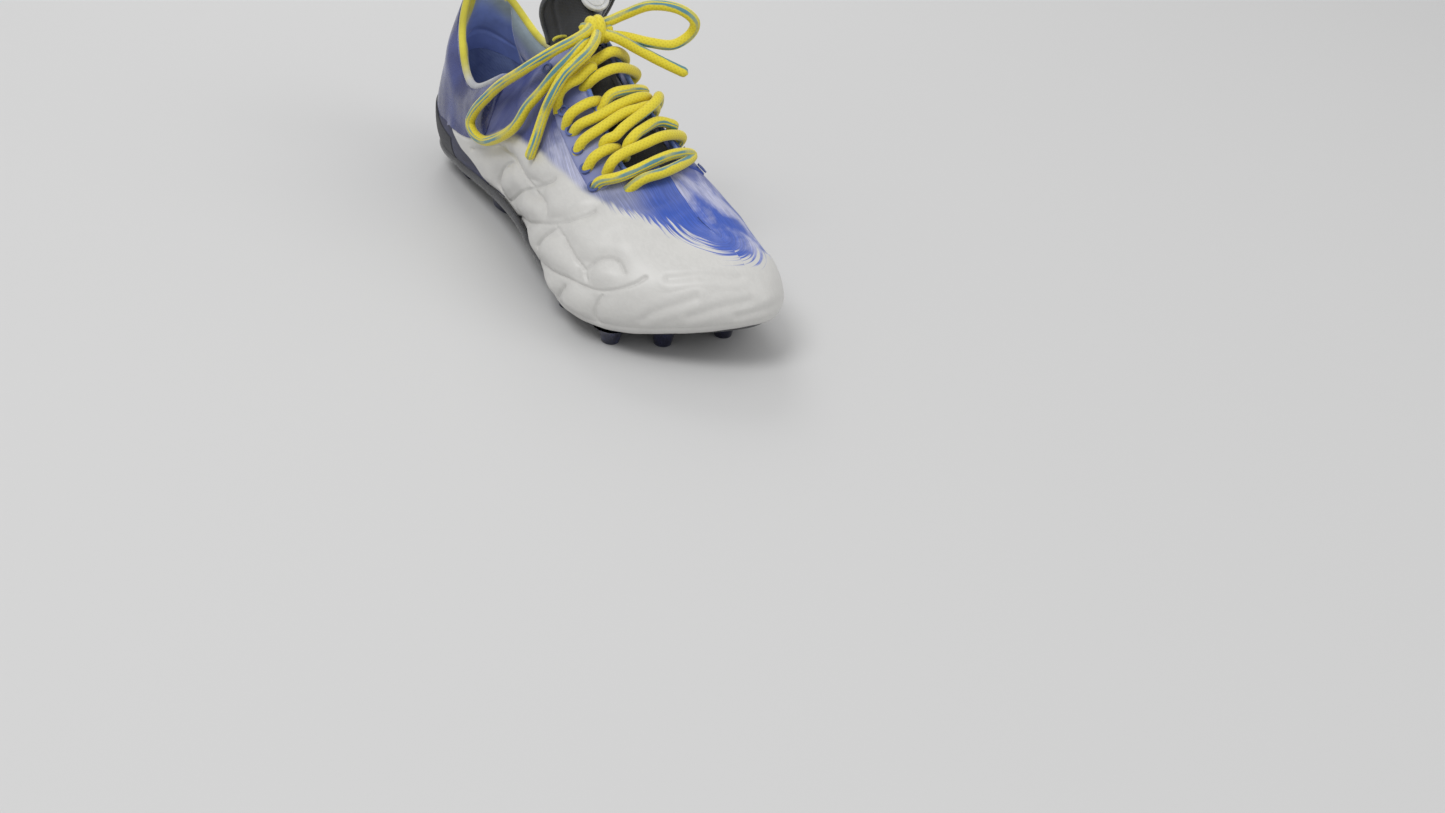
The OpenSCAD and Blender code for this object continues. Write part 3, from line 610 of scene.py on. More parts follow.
# Upper edge of the white leather: share read by station, the inner side negative
WHITE_EDGE = np.array([
    (-6.5, 0.2), (-2.9, 0.26), (-2.3, 0.34), (-1.7, 0.43), (-1.3, 0.52), (-0.45, 0.6), (0.43, 0.69),
    (1.0, 0.76), (1.65, 0.8), (2.18, 0.79), (2.53, 0.75), (2.87, 0.69), (3.37, 0.62), (3.73, 0.56),
    (4.2, 0.51), (4.53, 0.46), (4.88, 0.42), (5.48, 0.32), (6.05, 0.26), (6.82, 0.36), (7.33, 0.39),
    (8.02, 0.46)])


def seam_points(lines, inner_side=False):
    found = []
    for line in lines:
        line = np.array(line, float)
        u = np.linspace(0, 1, 30 * len(line))
        flat = spline(line, u)
        s = STATION_COUNT - flat[:, 0] if inner_side else flat[:, 0]
        found.append(skin(s, np.clip(flat[:, 1], 0, 1)))
    return np.concatenate(found)


def over_seams(points, seams, measure):
    """measure of the squared distances from the points to all seam points, part by part."""
    flat = points.reshape(-1, 3)
    found = []
    for first in range(0, len(flat), 4000):
        part = flat[first:first + 4000]
        gap = (part ** 2).sum(1)[:, None] + (seams ** 2).sum(1)[None] - 2 * part @ seams.T
        found.append(measure(np.maximum(gap, 0)))
    return np.concatenate(found).reshape(points.shape[:-1])


def seam_weight(points, seams, width):
    """1 on a straight seam, falling smoothly to 0 over a few widths."""
    step = np.linalg.norm(np.gradient(seams, axis=0), axis=1).clip(0, 3)
    found = over_seams(points, seams, lambda gap: np.exp(-gap / (2 * width ** 2)) @ step)
    return found / (width * math.sqrt(2 * math.pi))


def nearest(points, seams):
    """Distance in millimetres from each point to the nearest seam point."""
    return over_seams(points, seams, lambda gap: np.sqrt(gap.min(1)))


QUILT_POINTS = seam_points(QUILT)
TOE_POINTS = seam_points(TOE_FOLDS)
INNER_POINTS = seam_points(INNER_FOLDS, True)


def signed(s):
    """Station measured from the toe, the inner side negative."""
    return np.where(s > STATION_COUNT / 2, s - STATION_COUNT, s)


def white_edge(s):
    return np.interp(signed(s), WHITE_EDGE[:, 0], WHITE_EDGE[:, 1])


def ripple(points, size):
    """Soft unevenness of stretched leather, from -1 to 1."""
    x, y, z = (points[..., k] / size for k in range(3))
    return (np.sin(1.7 * x + 2.3 * y + 0.6 * z) + np.sin(2.9 * x - 1.1 * y + 1.9 * z + 1.3)
            + np.sin(0.7 * x + 3.1 * z - 1.7 * y + 4.0)) / 3


# Heights in millimetres: quilt cells, their sewn lines, inner folds, ball creases, rand edge
CELL_RISE, SEAM_CUT, FOLD_RISE, CREASE_RISE, RAND_STEP = 2.6, 1.1, 2.2, 0.28, 1.1


def relief(s, t):
    """Height of the upper's quilting, folds and unevenness over the plain skin."""
    at = skin(s, t)
    a = signed(s)
    seam = nearest(at, QUILT_POINTS)
    puffed = ramp(a, 1.7, 2.9) * (1 - ramp(a, 7.9, 8.3)) * (1 - ramp(t - white_edge(s), -0.06, 0.1))
    sunk = np.minimum(seam_weight(at, QUILT_POINTS, 3.6), 1.25)
    rise = puffed * (CELL_RISE * (1 - sunk) * ramp(t, -0.02, 0.07) - 0.4)
    rise -= SEAM_CUT * bell(seam, 0.9) * ramp(a, 1.5, 1.9)
    toe = nearest(at, TOE_POINTS)
    rise += -0.45 * bell(toe, 2.2) + 0.25 * bell(toe - 4, 2.5)
    fold = nearest(at, INNER_POINTS)
    inner = (ramp(-a, 2.6, 3.4) * (1 - ramp(-a, 6.2, 6.9))
             * ramp(t, 0.2, 0.3) * (1 - ramp(t, 0.42, 0.54)))
    inner_sunk = np.minimum(seam_weight(at, INNER_POINTS, 4.0), 1.2)
    rise += inner * (FOLD_RISE * (1 - inner_sunk) - 0.4 - 0.8 * bell(fold, 1.1))
    # Ball-of-foot creases over the flexing vamp
    bend = ramp(a, 1.9, 2.5) * (1 - ramp(a, 3.3, 3.7)) * ramp(t, 0.45, 0.7)
    rise += CREASE_RISE * bend * np.sin(at[..., 0] / 1.9 + 1.2 * np.sin(at[..., 1] / 9))
    # Raised edge of the inner rand, running on round the toe
    step = ramp(-a, 1.0, 1.8) * (1 - ramp(-a, 3.2, 3.4))
    rise += step * RAND_STEP * (1 - ramp(t - white_edge(s), -0.02, 0.02))
    return rise + 0.3 * ripple(at, 17) + 0.12 * ripple(at, 6)


def shoe_height(s):
    """Length over the skin from the sole edge to the top, per station."""
    knots = np.linspace(-10, 10, 161)
    t = np.linspace(0, 1, 40)
    at = skin(np.mod(knots, STATION_COUNT)[:, None], t[None])
    long = np.linalg.norm(np.diff(at, axis=1), axis=2).sum(1)
    return np.interp(signed(s), knots, long)


def paint(s, t):
    """Paint coordinates: distance over the white edge, place, colour and how clouded it is."""
    a = signed(s)
    high = shoe_height(s)
    at = skin(s, t)
    edge = (t - white_edge(s)) * high
    lay = np.stack([at[..., 0], (1 - t) * high * np.where(a < 0, -1, 1), np.zeros_like(t)], -1)
    lilac = (ramp(a, 2.3, 3.2) * (1 - ramp(t, 0.74, 0.9)) + ramp(a, 3.2, 3.7))[..., None].clip(0, 1)
    saddle = ramp(a, 4.4, 5.2)[..., None]
    inner = ramp(-a, 2.2, 3.6)[..., None]
    tint = mix(mix(np.array(BLUE), np.array(PERIWINKLE), lilac), np.array(SADDLE), saddle)
    tint = mix(tint, np.array(MEDIAL), inner)
    pale = 0.1 + 0.8 * ramp(-a, 0.1, 1.2) * (1 - ramp(-a, 3.5, 5))
    pale += 0.7 * ramp(a, 3.2, 3.9) * (1 - ramp(a, 4.7, 5.3))
    brush = (0.03 + 0.97 * (1 - ramp(a, 2.6, 3.5))) * (1 - 0.9 * ramp(-a, 0.8, 2.0))
    return edge, lay, tint, pale, brush


def skin_piece(name, s, t, material, lift=0.0, thick=PANEL_T, roll=(), flat=False, merge=0.0,
               extra=None):
    """Panel over the skin from grids of stations and shares. roll names its rounded borders."""
    rise = (0 * s if flat else relief(s, t)) + lift
    if extra is not None:
        rise = rise + extra
    at = skin(s, t)
    step_s = np.linalg.norm(np.diff(at, axis=0), axis=2)
    step_t = np.linalg.norm(np.diff(at, axis=1), axis=2)
    run_s = np.concatenate([np.zeros((1, s.shape[1])), np.cumsum(step_s, 0)])
    run_t = np.concatenate([np.zeros((s.shape[0], 1)), np.cumsum(step_t, 1)], 1)
    gaps = {"first": run_s, "last": run_s[-1:] - run_s, "low": run_t, "high": run_t[:, -1:] - run_t}
    for side in roll:
        near = np.clip(gaps[side] / thick, 0, 1)
        rise = rise - thick * 0.8 * (1 - np.sqrt(1 - (1 - near) ** 2))
    rows, cols = s.shape
    out = skin_out(s, t)
    top = at + rise[..., None] * out
    ring = border(rows, cols)
    under = top.reshape(-1, 3)[ring] - thick * out.reshape(-1, 3)[ring]
    points = np.concatenate([top.reshape(-1, 3), under])
    count = rows * cols
    low_ring = count + np.arange(len(ring))
    wall = np.stack([ring, np.roll(ring, -1), np.roll(low_ring, -1), low_ring], 1)
    faces = np.concatenate([grid_faces(rows, cols), wall])
    whole = np.concatenate([np.arange(count), ring])
    edge, lay, tint, pale, brush = (v.reshape(count, -1)[whole] for v in paint(s, t))
    return mesh_object(name, points, faces, material, merge=merge, vectors={"lay": lay},
                       floats={"edge": edge, "pale": pale, "brush": brush}, colors={"tint": tint})


def between(s_list, low, high, cols):
    """Grids of stations and shares between two edges, given as tables or numbers."""
    s = np.asarray(s_list, float)

    def edge(table):
        if np.isscalar(table):
            return np.full(len(s), float(table))
        table = np.array(table, float)
        return np.interp(s, table[:, 0], table[:, 1])

    f = np.linspace(0, 1, cols)[None]
    t = edge(low)[:, None] * (1 - f) + edge(high)[:, None] * f
    return np.repeat(s[:, None], cols, 1), t


def panel(name, stations, low, high, cols, material, body, slot_name, nodes=(), dip=None, **look):
    """Panel over the skin between two edges, on its body: stations are (first, last, rows), and
    dip gives its extra height."""
    s, t = between(np.linspace(*stations), low, high, cols)
    if dip:
        look["extra"] = dip(s, t)
    rides(skin_piece(name, s, t, material, **look), body, nodes or [name])


# ---- upper: outer panels ----

FORE_END = 3.3
LAP = 0.03


def lapped(s, t):
    """Dip of a side panel's front edge under the forefoot leather, so no gap opens as it bends."""
    return -0.15 * (1 - ramp(np.abs(signed(s)), FORE_END, FORE_END + 2 * LAP))


def collar_swell(s, t):
    """Fullness over the padded collar, just under the heel quarter's top."""
    return 1.5 * bell(t - 0.78, 0.13)


panel("forefoot_leather", (-FORE_END, FORE_END, 361), -CURL_SHARE, 1, 140,
      "white_leather", "flex", "white_leather", ["toe_cap", "vamp", "vamp_front"], merge=0.02)

WHITE_LOW = [(3.3, -CURL_SHARE), (4.2, -CURL_SHARE), (5.2, 0), (6.1, 0), (6.7, 0.01), (7.23, 0.16),
             (7.55, 0.26), (7.95, 0.43), (8.05, 0.44)]
WHITE_TOP = [(a, b) for a, b in WHITE_EDGE if a > 3]
panel("lateral_leather", (FORE_END - LAP, 8.05, 300), WHITE_LOW, WHITE_TOP, 80,
      "white_leather", "flex", "white_leather", ["lateral_quarter"], lapped)

SIDE_TOP = [(3.3, 1.0), (3.44, 1.0), (3.5, 0.9), (3.62, THROAT_TOP), (5.9, THROAT_TOP), (6.5, 0.86),
            (6.97, 0.94)]
panel("lateral_saddle", (FORE_END - LAP, 6.97, 250), WHITE_TOP, SIDE_TOP, 70,
      "white_leather", "flex", "periwinkle_leather", dip=lapped, roll=["high"])

INNER_LOW = [(14.8, 0), (15.8, -CURL_SHARE)]
INNER_TOP = [(STATION_COUNT - a, b) for a, b in reversed(SIDE_TOP)]
panel("medial_quarter", (STATION_COUNT - 6.97, STATION_COUNT - FORE_END + LAP, 250),
      INNER_LOW, INNER_TOP, 115, "white_leather", "flex", "periwinkle_leather", dip=lapped,
      roll=["high"])

COLLAR_TOP = [(6.95, 0.93), (7.05, 0.955), (8, 0.957), (9, 0.972), (10, 0.979), (11, 0.975),
              (12, 0.966), (12.95, 0.955), (13.05, 0.93)]
HEEL_LOW = [(6.9, 0.4), (6.97, 0.385), (7.33, 0.39), (7.8, 0.435), (8.06, 0.44), (8.4, 0.3),
            (8.8, 0.12), (9.0, 0)]
panel("heel_quarter", (6.93, 13.05, 310), HEEL_LOW, COLLAR_TOP, 90,
      "navy_leather", "rear", "navy_leather", dip=collar_swell, lift=0.7,
      roll=["first", "high", "last"])

# ---- upper: rands, cup, eyestays ----

RAND_HIGH = [(6.15, 0.005), (6.7, 0.012), (7.23, 0.15), (7.55, 0.25), (7.95, 0.42), (8.1, 0.45),
             (8.35, 0.4), (8.7, 0.3)]
panel("lateral_rand", (6.15, 8.7, 150), 0.0, RAND_HIGH, 40,
      "rand_dark", "rear", "rand_plastic", lift=1.1, roll=["high"], flat=True)

CUP_TOP = [(8.0, 0.3), (8.4, 0.3), (9.2, 0.35), (10, 0.37), (10.8, 0.33), (11.4, 0.24), (11.9, 0.1)]
panel("heel_cup", (8.0, 11.9, 200), 0.0, CUP_TOP, 46,
      "cup_dark", "rear", "rand_plastic", lift=1.5, roll=["first", "high", "last"], flat=True)

INNER_RAND_TOP = [(11.7, 0.06), (12.4, 0.2), (13.5, 0.26), (15, 0.24), (16.7, 0.3), (17.1, 0.27)]
panel("medial_rand", (11.7, 17.1, 240), INNER_LOW, INNER_RAND_TOP, 38,
      "rand_white", "flex", "rand_plastic", lift=1.3, roll=["first", "high"], flat=True)

STAY = [(3.5, 0.66), (3.7, 0.6), (5.0, 0.56), (5.6, 0.57), (5.95, 0.63)]
INNER_STAY = [(STATION_COUNT - a, b - 0.03) for a, b in reversed(STAY)]
stay_look = dict(lift=1.0, thick=1.1, flat=True, roll=["first", "last", "low", "high"])
panel("eyestay_lateral", (3.5, 5.95, 120), STAY, THROAT_TOP - 0.01, 30,
      "eyestay_leather", "rear", "periwinkle_leather", **stay_look)
panel("eyestay_medial", (STATION_COUNT - 5.95, STATION_COUNT - 3.5, 120), INNER_STAY,
      THROAT_TOP - 0.01, 30, "blue_leather", "rear", "blue_leather", **stay_look)

THROAT = [(3.46, 0.97), (3.5, 0.88), (3.62, 0.805), (4.2, 0.8), (5, 0.8), (5.9, 0.8), (6.4, 0.85),
          (6.95, 0.935)]
for side_name, inner_side in (("lateral", False), ("medial", True)):
    points, faces, _ = tube(on_skin(THROAT, 0.7, 220, inner_side), 1.3, 14)
    piece("throat_piping_" + side_name, points, faces, "blue_fabric", "rear", "blue_fabric", [])

# ---- linings, pads and collar ----

LINING_TOP = [(3.5, 0.78), (5.9, 0.78), (6.5, 0.83), (7.2, 0.9), (12.8, 0.9), (13.5, 0.83),
              (14.1, 0.78), (16.5, 0.78)]
s, t = between(np.linspace(3.5, 16.5, 260), 0.02, LINING_TOP, 30)
lining = solid(layer(s, t, -2.5), layer(s, t, -3.2 + 0.15 * ripple(skin(s, t), 9)))
piece("quarter_lining", *lining, "lining_fabric", "flex", "lining_fabric")


def collar_tint(s, f):
    """Blue velvet that greys towards the rim, with a yellow flare at the outer side of the heel."""
    s, f = s[..., None], f[..., None]
    tint = mix(np.array(srgb(116, 136, 204)), np.array(srgb(140, 154, 164)), ramp(f, 0.55, 0.9))
    from_rim = np.interp(s, [8.3, 8.7, 9.1, 9.6, 9.9, 11.2], [0, 0.1, 0.42, 0.3, 0.06, 0])
    flare = ramp(f, 1 - from_rim - 0.02, 1.02 - from_rim) * (from_rim > 0.01)
    return mix(tint, np.array(srgb(214, 202, 52)), flare)


def collar_pad(name, first, last, high, deep, slot_name):
    """Foam pad with a rolled top, thickest under the rim."""
    rows, cols = 110, 44
    s, t = between(np.linspace(first, last, rows), 0.5, high, cols)
    f = np.linspace(0, 1, cols)[None] * np.ones_like(s)
    g = np.linspace(0, 1, rows)[:, None] * np.ones_like(s)
    full = np.sin(np.pi * f ** 1.6) ** 0.55 * ramp(g, 0, 0.12) * (1 - ramp(g, 0.88, 1))
    seam = bell(f - 0.28, 0.03)
    inner = -3.3 - deep * full * (1 - 0.5 * seam) - 0.2 * ripple(skin(s, t), 8)
    points, faces = solid(layer(s, t, -2.4), layer(s, t, inner))
    tint = np.tile(collar_tint(s, f).reshape(-1, 3), (2, 1))
    pad = piece(name, points, faces, "collar_velvet", "rear", slot_name, colors={"tint": tint})


collar_pad("collar_pad_lateral", 6.75, 8.95, 0.972, 5.0, "lining_fabric")
collar_pad("collar_pad_medial", 11.05, 13.25, 0.972, 5.0, "lining_fabric")
collar_pad("heel_tab_lining", 8.85, 11.2, 0.974, 1.8, "yellow_fabric")

RIM_STEPS = 220
rim_s = np.linspace(6.9, 13.1, RIM_STEPS)
rim_share = np.interp(rim_s, [6.9, 7.1, 12.9, 13.1], [0.93, 0.985, 0.985, 0.93])
rim_line = layer(rim_s, rim_share, -1.3)
points, faces, weave = tube(rim_line, 2.1, 18)
at = np.interp(weave[:, 0] / weave[:, 0].max(), np.linspace(0, 1, RIM_STEPS), rim_s)[:, None]
yellow, grey, blue = (np.array(srgb(*c)) for c in ((208, 198, 66), (170, 172, 178), (82, 98, 160)))
heel_share = ramp(at, 8.2, 8.9) * (1 - ramp(at, 11.6, 12.3))
dip_share = ramp(at, 6.9, 7.3) * (1 - ramp(at, 12.6, 13.0))
tint = yellow * heel_share + (grey * dip_share + blue * (1 - dip_share)) * (1 - heel_share)
piece("collar_binding", points, faces, "collar_velvet", "rear", "yellow_fabric",
      colors={"tint": tint})

# ---- tongue ----

TONGUE_T = 4.4
TONGUE_DEEP = 3.8
TONGUE_HIGH_W = 27
# Middle line of the free end, from where the tongue leaves the throat
FREE_LINE = [[0, 0, 0], [-5.6, 1.5, 5.5], [-12, 3.5, 13.5], [-17, 4.8, 22.5], [-20, 5.4, 31.5]]
TONGUE_FIRST, TONGUE_LAST = 3.45, 5.95
TONGUE_EDGE = 0.62
BEND_END = 0.6
WING_BACK, WING_DROP, WING_NARROW = 10, 5, 0.38
WING_TUCK = [[0], [0.3], [0.95], [1], [0.8], [0.35], [0]]
CORNER_DROP = 0.16


def tongue_place(s, w):
    return np.where(w > 0, STATION_COUNT - s, s), 1 - (1 - TONGUE_EDGE) * np.abs(w)


def tongue_middle(s, w):
    a, t = tongue_place(s, w)
    return layer(a, t, -TONGUE_DEEP - TONGUE_T / 2)


def tongue_point(u, w, up):
    """Point of the padded tongue: u along it, w from -1 outside to 1 inside, up through it."""
    u, w, up = np.broadcast_arrays(*(np.asarray(v, float) for v in (u, w, up)))
    f = np.maximum(0, u - BEND_END) / (1 - BEND_END)
    s = mix(TONGUE_FIRST, TONGUE_LAST, np.minimum(1, u / BEND_END))
    d = spline(FREE_LINE, f + 0.01) - spline(FREE_LINE, f - 0.01)
    n = unit(np.stack([d[..., 2], np.zeros_like(f), -d[..., 0]], -1))
    y = w * TONGUE_HIGH_W * (1 - 0.32 * np.maximum(0, (u - 0.86) / 0.14) ** 2)
    rolled = tongue_middle(s, w) - tongue_middle(s, 0 * w)
    flat = np.stack([0 * y, y, 0 * y], -1) - n * (0.018 * y * y)[..., None]
    out = unit(mix(skin_out(*tongue_place(s, w)), n, f[..., None]))
    thick = TONGUE_T * (1 - 0.45 * np.abs(w) ** 3)
    tuck = spline(WING_TUCK, np.clip((u - 0.4) / 0.6, 0, 1))[..., 0]
    section = mix(rolled, flat, f[..., None])
    wings = np.stack([-WING_BACK * tuck * w * w, -WING_NARROW * tuck * section[..., 1],
                      -WING_DROP * tuck * w * w], -1)
    centre = tongue_middle(s, 0 * w) + spline(FREE_LINE, f * (1 - CORNER_DROP * w ** 4 * f))
    return centre + section + wings + out * (up * thick / 2)[..., None]


u, w = np.meshgrid(np.linspace(0, 1, 200), np.linspace(1, -1, 90), indexing="ij")
rim = np.minimum((1 - np.abs(w)) * 24, (1 - u) * 80)
edge_round = np.sqrt(np.clip(1 - (1 - np.clip(rim / 2.4, 0, 1)) ** 2, 0.01, 1))
free = ramp(u, 0.6, 0.72)
channel = bell(np.abs(w) - 0.8, 0.035) * free
channel = channel + bell(u - 0.955, 0.008) * free * (np.abs(w) < 0.8)
puff = 1 + 0.35 * free * (1 - np.abs(w) ** 6) - 0.9 * channel
wave = 0.12 * ripple(tongue_point(u, w, 0 * u), 7) * free
tongue_mesh = solid(tongue_point(u, w, edge_round * puff + wave), tongue_point(u, w, -edge_round))
tongue = mesh_object("tongue", *tongue_mesh, "black_fabric")
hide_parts("tongue", "tongue_bend", "tongue_top")
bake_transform(tongue)

side_share = np.linspace(0.76, 0.975, 60)
edge_in = tongue_point(side_share, -1.0, 0.1)
edge_back = tongue_point(side_share[::-1], 1.0, 0.1)
top_line = tongue_point(1.0, np.linspace(-0.94, 0.94, 60), 0.1) + [-0.3, 0, 0.5]
piping_line = np.concatenate([edge_in, top_line, edge_back])
piping_line = spline(even(piping_line, 6)[0], np.linspace(0, 1, 260))
points, faces, _ = tube(piping_line, 1.4, 14)
piece("tongue_piping", points, faces, "black_satin", "tongue_free", "blue_fabric")

BADGE_U = 0.88
face_at = tongue_point(BADGE_U, 0, 1.6)
facing = unit(tongue_point(BADGE_U, 0, 1) - tongue_point(BADGE_U, 0, -1))
across = unit(np.cross(facing, [1.0, 0, 0.3]))
other = np.cross(facing, across)
profile = [(0, 1.25), (3, 1.2), (5.2, 1.0), (5.5, 0.55), (6.1, 0.55), (6.4, 1.1), (7.0, 1.25),
           (7.7, 1.0), (8, 0.3), (8, -0.5), (7, -1.0), (0, -1.0)]
angle = 2 * np.pi * np.arange(73) / 72
fine = spline(np.array(profile, float), np.linspace(0, 1, 60))
spoke = np.cos(angle)[:, None] * across + np.sin(angle)[:, None] * other
disc = face_at + fine[:, None, 0:1] * spoke[None] + fine[:, None, 1:2] * facing
piece("tongue_badge", disc.reshape(-1, 3), grid_faces(*disc.shape[:2]), "badge_plastic",
      "tongue_free", "badge_plastic", merge=0.02)

loop_face = tongue_point(0.72, -0.75, 1)
loop_out = unit(loop_face - tongue_point(0.72, -0.75, -1))
turn_angle = np.linspace(0, np.pi, 40)
loop_line = loop_face + loop_out * (1.2 + 3.2 * np.sin(turn_angle))[:, None]
loop_line = loop_line + np.stack([0 * turn_angle, 5 * np.cos(turn_angle), 0 * turn_angle], 1)
points, faces, _ = tube(loop_line, 0.9, 12, 0.5)
piece("tongue_loop", points, faces, "yellow_fabric", "tongue_free", "yellow_fabric")

# ---- lace ladder: each run as (station, share) places, inner places past 11 ----

RUNS = [
    [(3.3, 0.76), (3.27, 0.84), (3.23, 0.92), (16.68, 0.96), (16.1, 0.6), (16.35, 0.88),
     (3.53, 0.95), (3.45, 0.83), (3.47, 0.73), (3.6, 0.66), (3.64, 0.63)],
    [(3.72, 0.7), (3.75, 0.75), (3.82, 0.82), (3.87, 0.93), (16.02, 0.93), (15.83, 0.66),
     (15.8, 0.62)],
    [(3.99, 0.6), (4.0, 0.68), (4.02, 0.76), (4.1, 0.84)],
    [(3.83, 0.83), (4.03, 0.89), (4.17, 0.97), (15.72, 0.9), (15.78, 0.74), (15.8, 0.66)],
    [(4.36, 0.6), (4.38, 0.66), (4.42, 0.78), (4.55, 0.91), (4.58, 0.99), (15.38, 0.9),
     (15.3, 0.74), (15.27, 0.64)],
    [(4.07, 0.76), (4.2, 0.84), (4.37, 0.94), (15.43, 0.92), (15.2, 0.68), (15.2, 0.62)],
    [(4.73, 0.61), (4.66, 0.68), (4.63, 0.79), (4.72, 0.92), (15.2, 0.92), (15.15, 0.72),
     (15.1, 0.66)],
    [(4.9, 0.58), (4.88, 0.66), (4.9, 0.77), (5.0, 0.85)],
    [(4.78, 0.77), (4.9, 0.88), (4.95, 0.98), (14.87, 0.68), (14.87, 0.62)],
    [(5.25, 0.74), (5.25, 0.85), (5.32, 0.99), (14.62, 0.69), (14.6, 0.63)],
    [(5.46, 0.61), (5.43, 0.68), (5.43, 0.77), (5.48, 0.89), (5.57, 1), (14.37, 0.7), (14.4, 0.63)],
    [(5.2, 0.57), (5.28, 0.64), (5.34, 0.72), (5.4, 0.82)],
]


def run_line(places, lift):
    """Lace run over the upper: passes through its places and dips in at both ends."""
    at = np.array([skin(a, min(b, 1)) + lift * skin_out(a, min(b, 0.97)) for a, b in places])
    for end in (0, -1):
        a, b = places[end]
        at[end] = skin(a, b) - 3.0 * skin_out(a, b)
    return spline(at, np.linspace(0, 1, 90))


lines = [run_line(places, 5.6 if k % 2 else 4.6) for k, places in enumerate(RUNS)]
# Push crossing runs apart, one over the other
for _ in range(30):
    for i in range(len(lines)):
        for j in range(i):
            gap = lines[i][:, None] - lines[j][None]
            far = np.linalg.norm(gap, axis=2)
            close = np.argmin(far, axis=1)
            least = far[np.arange(len(far)), close]
            push = np.clip(2 * LACE_R - least, 0, 1.2)
            if push.max() <= 0.01:
                continue
            way = np.array([0.35, 0, 0.94]) * (i % 2)
            lines[i] = lines[i] + push[:, None] * (0.5 * way + 0.5 * gap[np.arange(len(far)), close]
                                                  / np.maximum(least, 0.5)[:, None])
    lines = [np.concatenate([v[:1], (v[:-2] + 2 * v[1:-1] + v[2:]) / 4, v[-1:]]) for v in lines]
lace_piece("lace_ladder", lines)

KNOT_AT = np.array([129, 3, 119.5])
pull = unit(np.array([0.1, 1.0, 0.12]))
lean = unit(np.cross(pull, [0.5, 0, 0.86]))
rise_way = np.cross(lean, pull)
q = np.linspace(-0.6, 4.2 * np.pi, 170)
wrap = KNOT_AT + (4.9 * np.cos(q)[:, None] * lean + 4.9 * np.sin(q)[:, None] * rise_way
                  + (q * 0.62 - 4.0)[:, None] * pull)
cross = np.array([[-3.0, -9, 1.5], [-0.5, -4, 1.0], [0, 0, 0], [0.5, 4, -0.6], [0.5, 9, 0.4]])
core = KNOT_AT + spline(cross, np.linspace(0, 1, 60))
lace_piece("lace_knot", [wrap, core])

# ---- sole ----

ring_s = np.linspace(0, STATION_COUNT, 421)
base = station(ring_s)[:, 0:2]
base_out = edge_out(ring_s)


def sole_ring(inset):
    """Outline of the sole moved in by an inset; the plate draws in further under the forefoot."""
    return base - base_out * inset


PLATE_TUCK = 7.2
front_share = np.clip((base[:, 0] - 150) / 50, 0, 1)[:, None]


def to_middle(xy, share):
    """Points drawn in from the outline towards the middle line."""
    x = np.clip(xy[:, 0], 30, 255)
    y_mid = np.interp(x, [0, 60, 110, 180, 250, 290], [0, 0, -3, -3, 2, 12])
    return xy * (1 - share) + np.stack([x, y_mid], 1) * share


# Edge section as (inset, height over the feather), then the underside
EDGE = [(3.5, -0.5), (0.5, 0.5), (-1.2, 1.2), (-2.2, 0.9), (-2.9, -0.8), (-2.6, -2.8), (-1.6, -4.6),
        (0.2, -5.7), (2, -6.0)]
rings = []
for inset, rise in spline(np.array(EDGE, float), np.linspace(0, 1, 26)):
    xy = sole_ring(inset + PLATE_TUCK * front_share)
    rings.append(np.concatenate([xy, (feather(xy[:, 0]) + rise)[:, None]], 1))
start = sole_ring(2 + PLATE_TUCK * front_share)
for share in np.linspace(0, 1, 46)[1:]:
    xy = to_middle(start, share)
    groove = 0.9 * bell(share - 0.12, 0.03) + 0.5 * bell(share - 0.5, 0.05)
    rings.append(np.concatenate([xy, (feather(xy[:, 0]) - 6.0 + groove)[:, None]], 1))
grid = np.stack(rings, 1)
top_rings = []
for share in np.linspace(0, 1, 14):
    xy = to_middle(sole_ring(3.5 + PLATE_TUCK * front_share), share)
    top_rings.append(np.concatenate([xy, (feather(xy[:, 0]) - 0.5)[:, None]], 1))
top_grid = np.stack(top_rings[::-1], 1)
grid = np.concatenate([top_grid, grid[:, 1:]], 1)
piece("outsole", grid.reshape(-1, 3), grid_faces(*grid.shape[:2])[:, ::-1], "sole_plastic", "flex",
      "sole_plastic", ["outsole_heel_plate", "outsole_forefoot_plate"], merge=0.02)


def stud(x, y, tip_x, tip_y, turn_deg):
    """Stud with a bell-shaped root: half sizes of its tip, turned about Z."""
    top = float(feather(np.array(x))) - 5.4
    # (share of the height, growth over the tip in millimetres)
    section = [(0, -2.6), (0, -0.9), (0.03, -0.2), (0.12, 0.1), (0.35, 0.6), (0.6, 1.2), (0.8, 2.0),
               (0.93, 3.2), (1.0, 4.6)]
    section = spline(np.array(section, float), np.linspace(0, 1, 34))
    angle = 2 * np.pi * np.arange(57) / 56
    power = 0.72 if tip_x != tip_y else 1.0
    cx = np.sign(np.cos(angle)) * np.abs(np.cos(angle)) ** power
    cy = np.sign(np.sin(angle)) * np.abs(np.sin(angle)) ** power
    grow = section[:, 1:2]
    px, py = (tip_x + grow) * cx[None], (tip_y + grow) * cy[None]
    c, k = math.cos(math.radians(turn_deg)), math.sin(math.radians(turn_deg))
    z = np.maximum(section[:, 0], 0)[:, None] * top * np.ones_like(px)
    side = np.stack([x + c * px - k * py, y + k * px + c * py, z], -1)
    cap = np.stack([np.full(57, float(x)), np.full(57, float(y)), np.zeros(57)], 1)[None]
    side = np.concatenate([cap, side])
    return side.reshape(-1, 3), grid_faces(*side.shape[:2])[:, ::-1].tolist()


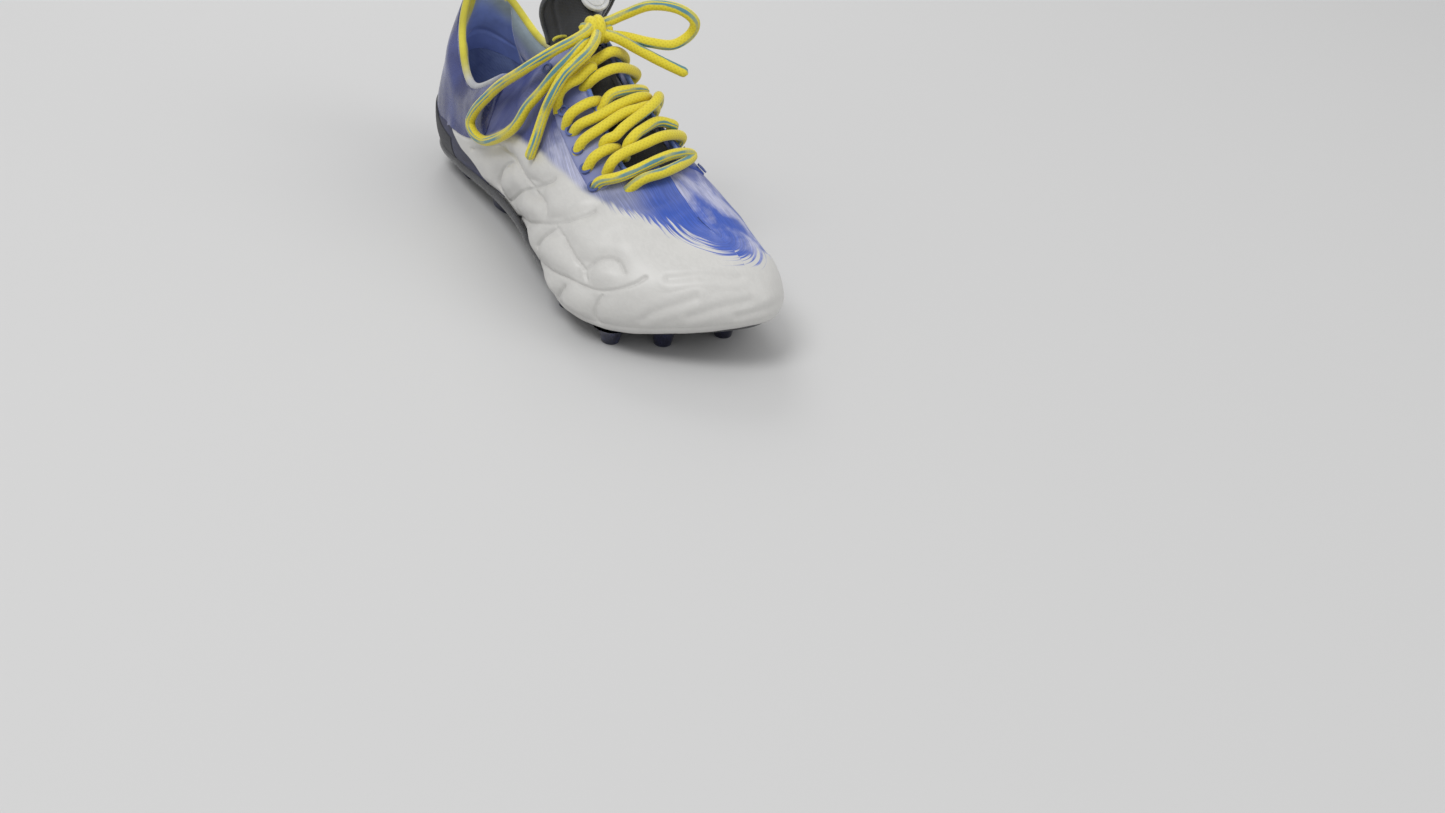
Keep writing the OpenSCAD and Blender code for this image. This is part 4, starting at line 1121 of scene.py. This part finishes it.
# Half sizes of the tips: blades under the heel, cones under the ball and toe
BLADE, CONE = (7.5, 3.4), (4.6, 4.6)
STUDS = {
    "heel_studs_rear": ("rear", BLADE, [(34, -17, -8), (34, 18, 8)]),
    "heel_studs_front": ("rear", BLADE, [(80, -19, 4), (80, 18, -4)]),
    "ball_studs": ("rear", CONE, [(163, -31, 0), (191, -39, 0), (166, 25, 0), (194, 34, 0)]),
    "toe_studs": ("forefoot", CONE, [(231, -37, 0), (243, -14, 0), (234, 34, 0), (247, 19, 0)]),
}
for stud_name, (body, tip, places) in STUDS.items():
    points, faces = joined([stud(x, y, *tip, turn_deg) for x, y, turn_deg in places])
    piece(stud_name, points, faces, "stud_plastic", body, "stud_plastic", merge=0.01)

# Sockliner: one moulded foam sheet with a turned-up edge
sock_rings = []
for share in np.linspace(0, 1, 60):
    xy = to_middle(sole_ring(4.8), share)
    z = feather(xy[:, 0]) + 4.8 + 1.6 * (1 - ramp(share, 0, 0.12))
    sock_rings.append(np.concatenate([xy, z[:, None]], 1))
sock = np.stack(sock_rings, 1)
piece("sockliner", *solid(sock, sock - [0, 0, 3.2]), "sock_fabric", "flex", "sock_fabric",
      ["sockliner_heel", "sockliner_forefoot"])

# ---- CAD nodes that keep their shape ----

KEPT = {"arch_shank": "shank_plastic", "insole_board_heel": "board",
        "insole_board_forefoot": "board", "heel_counter": "board", "toe_puff": "board",
        "forefoot_lining": "lining_fabric", "eyelets": "eyelet_plastic"}
for node_name, material in KEPT.items():
    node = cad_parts[node_name]
    node.data.materials.clear()
    node.data.materials.append(MATERIALS[material])

# ---- floor, light and background ----

FLOOR = 12.0  # metres from the middle to each edge
floor_mesh = bpy.data.meshes.new("floor")
corners = [(FLOOR * x, FLOOR * y, 0) for x, y in ((-1, -1), (1, -1), (1, 1), (-1, 1))]
floor_mesh.from_pydata(corners, [], [(0, 1, 2, 3)])
floor_mesh.materials.append(floor_paint())
floor = bpy.data.objects.new("floor", floor_mesh)
bpy.context.collection.objects.link(floor)

world = bpy.data.worlds.new("studio")
world.use_nodes = True
world.node_tree.nodes["Background"].inputs["Color"].default_value = (1, 1, 1, 1)
world.node_tree.nodes["Background"].inputs["Strength"].default_value = 0.56
bpy.context.scene.world = world
bpy.context.scene.view_settings.view_transform = "Standard"


def area_light(name, at, size, power):
    light = bpy.data.objects.new(name, bpy.data.lights.new(name, "AREA"))
    light.data.shape = "DISK"
    light.data.size = size
    light.data.energy = power
    light.location = at
    light.rotation_euler = (Vector((0, 0, 0.05)) - Vector(at)).to_track_quat("-Z", "Y").to_euler()
    bpy.context.collection.objects.link(light)


area_light("key", (0.3, -0.9, 1.7), 0.9, 14)
area_light("fill", (1.2, 1.0, 1.2), 1.2, 5)
area_light("back", (-1.2, 0.4, 1.0), 0.8, 6)
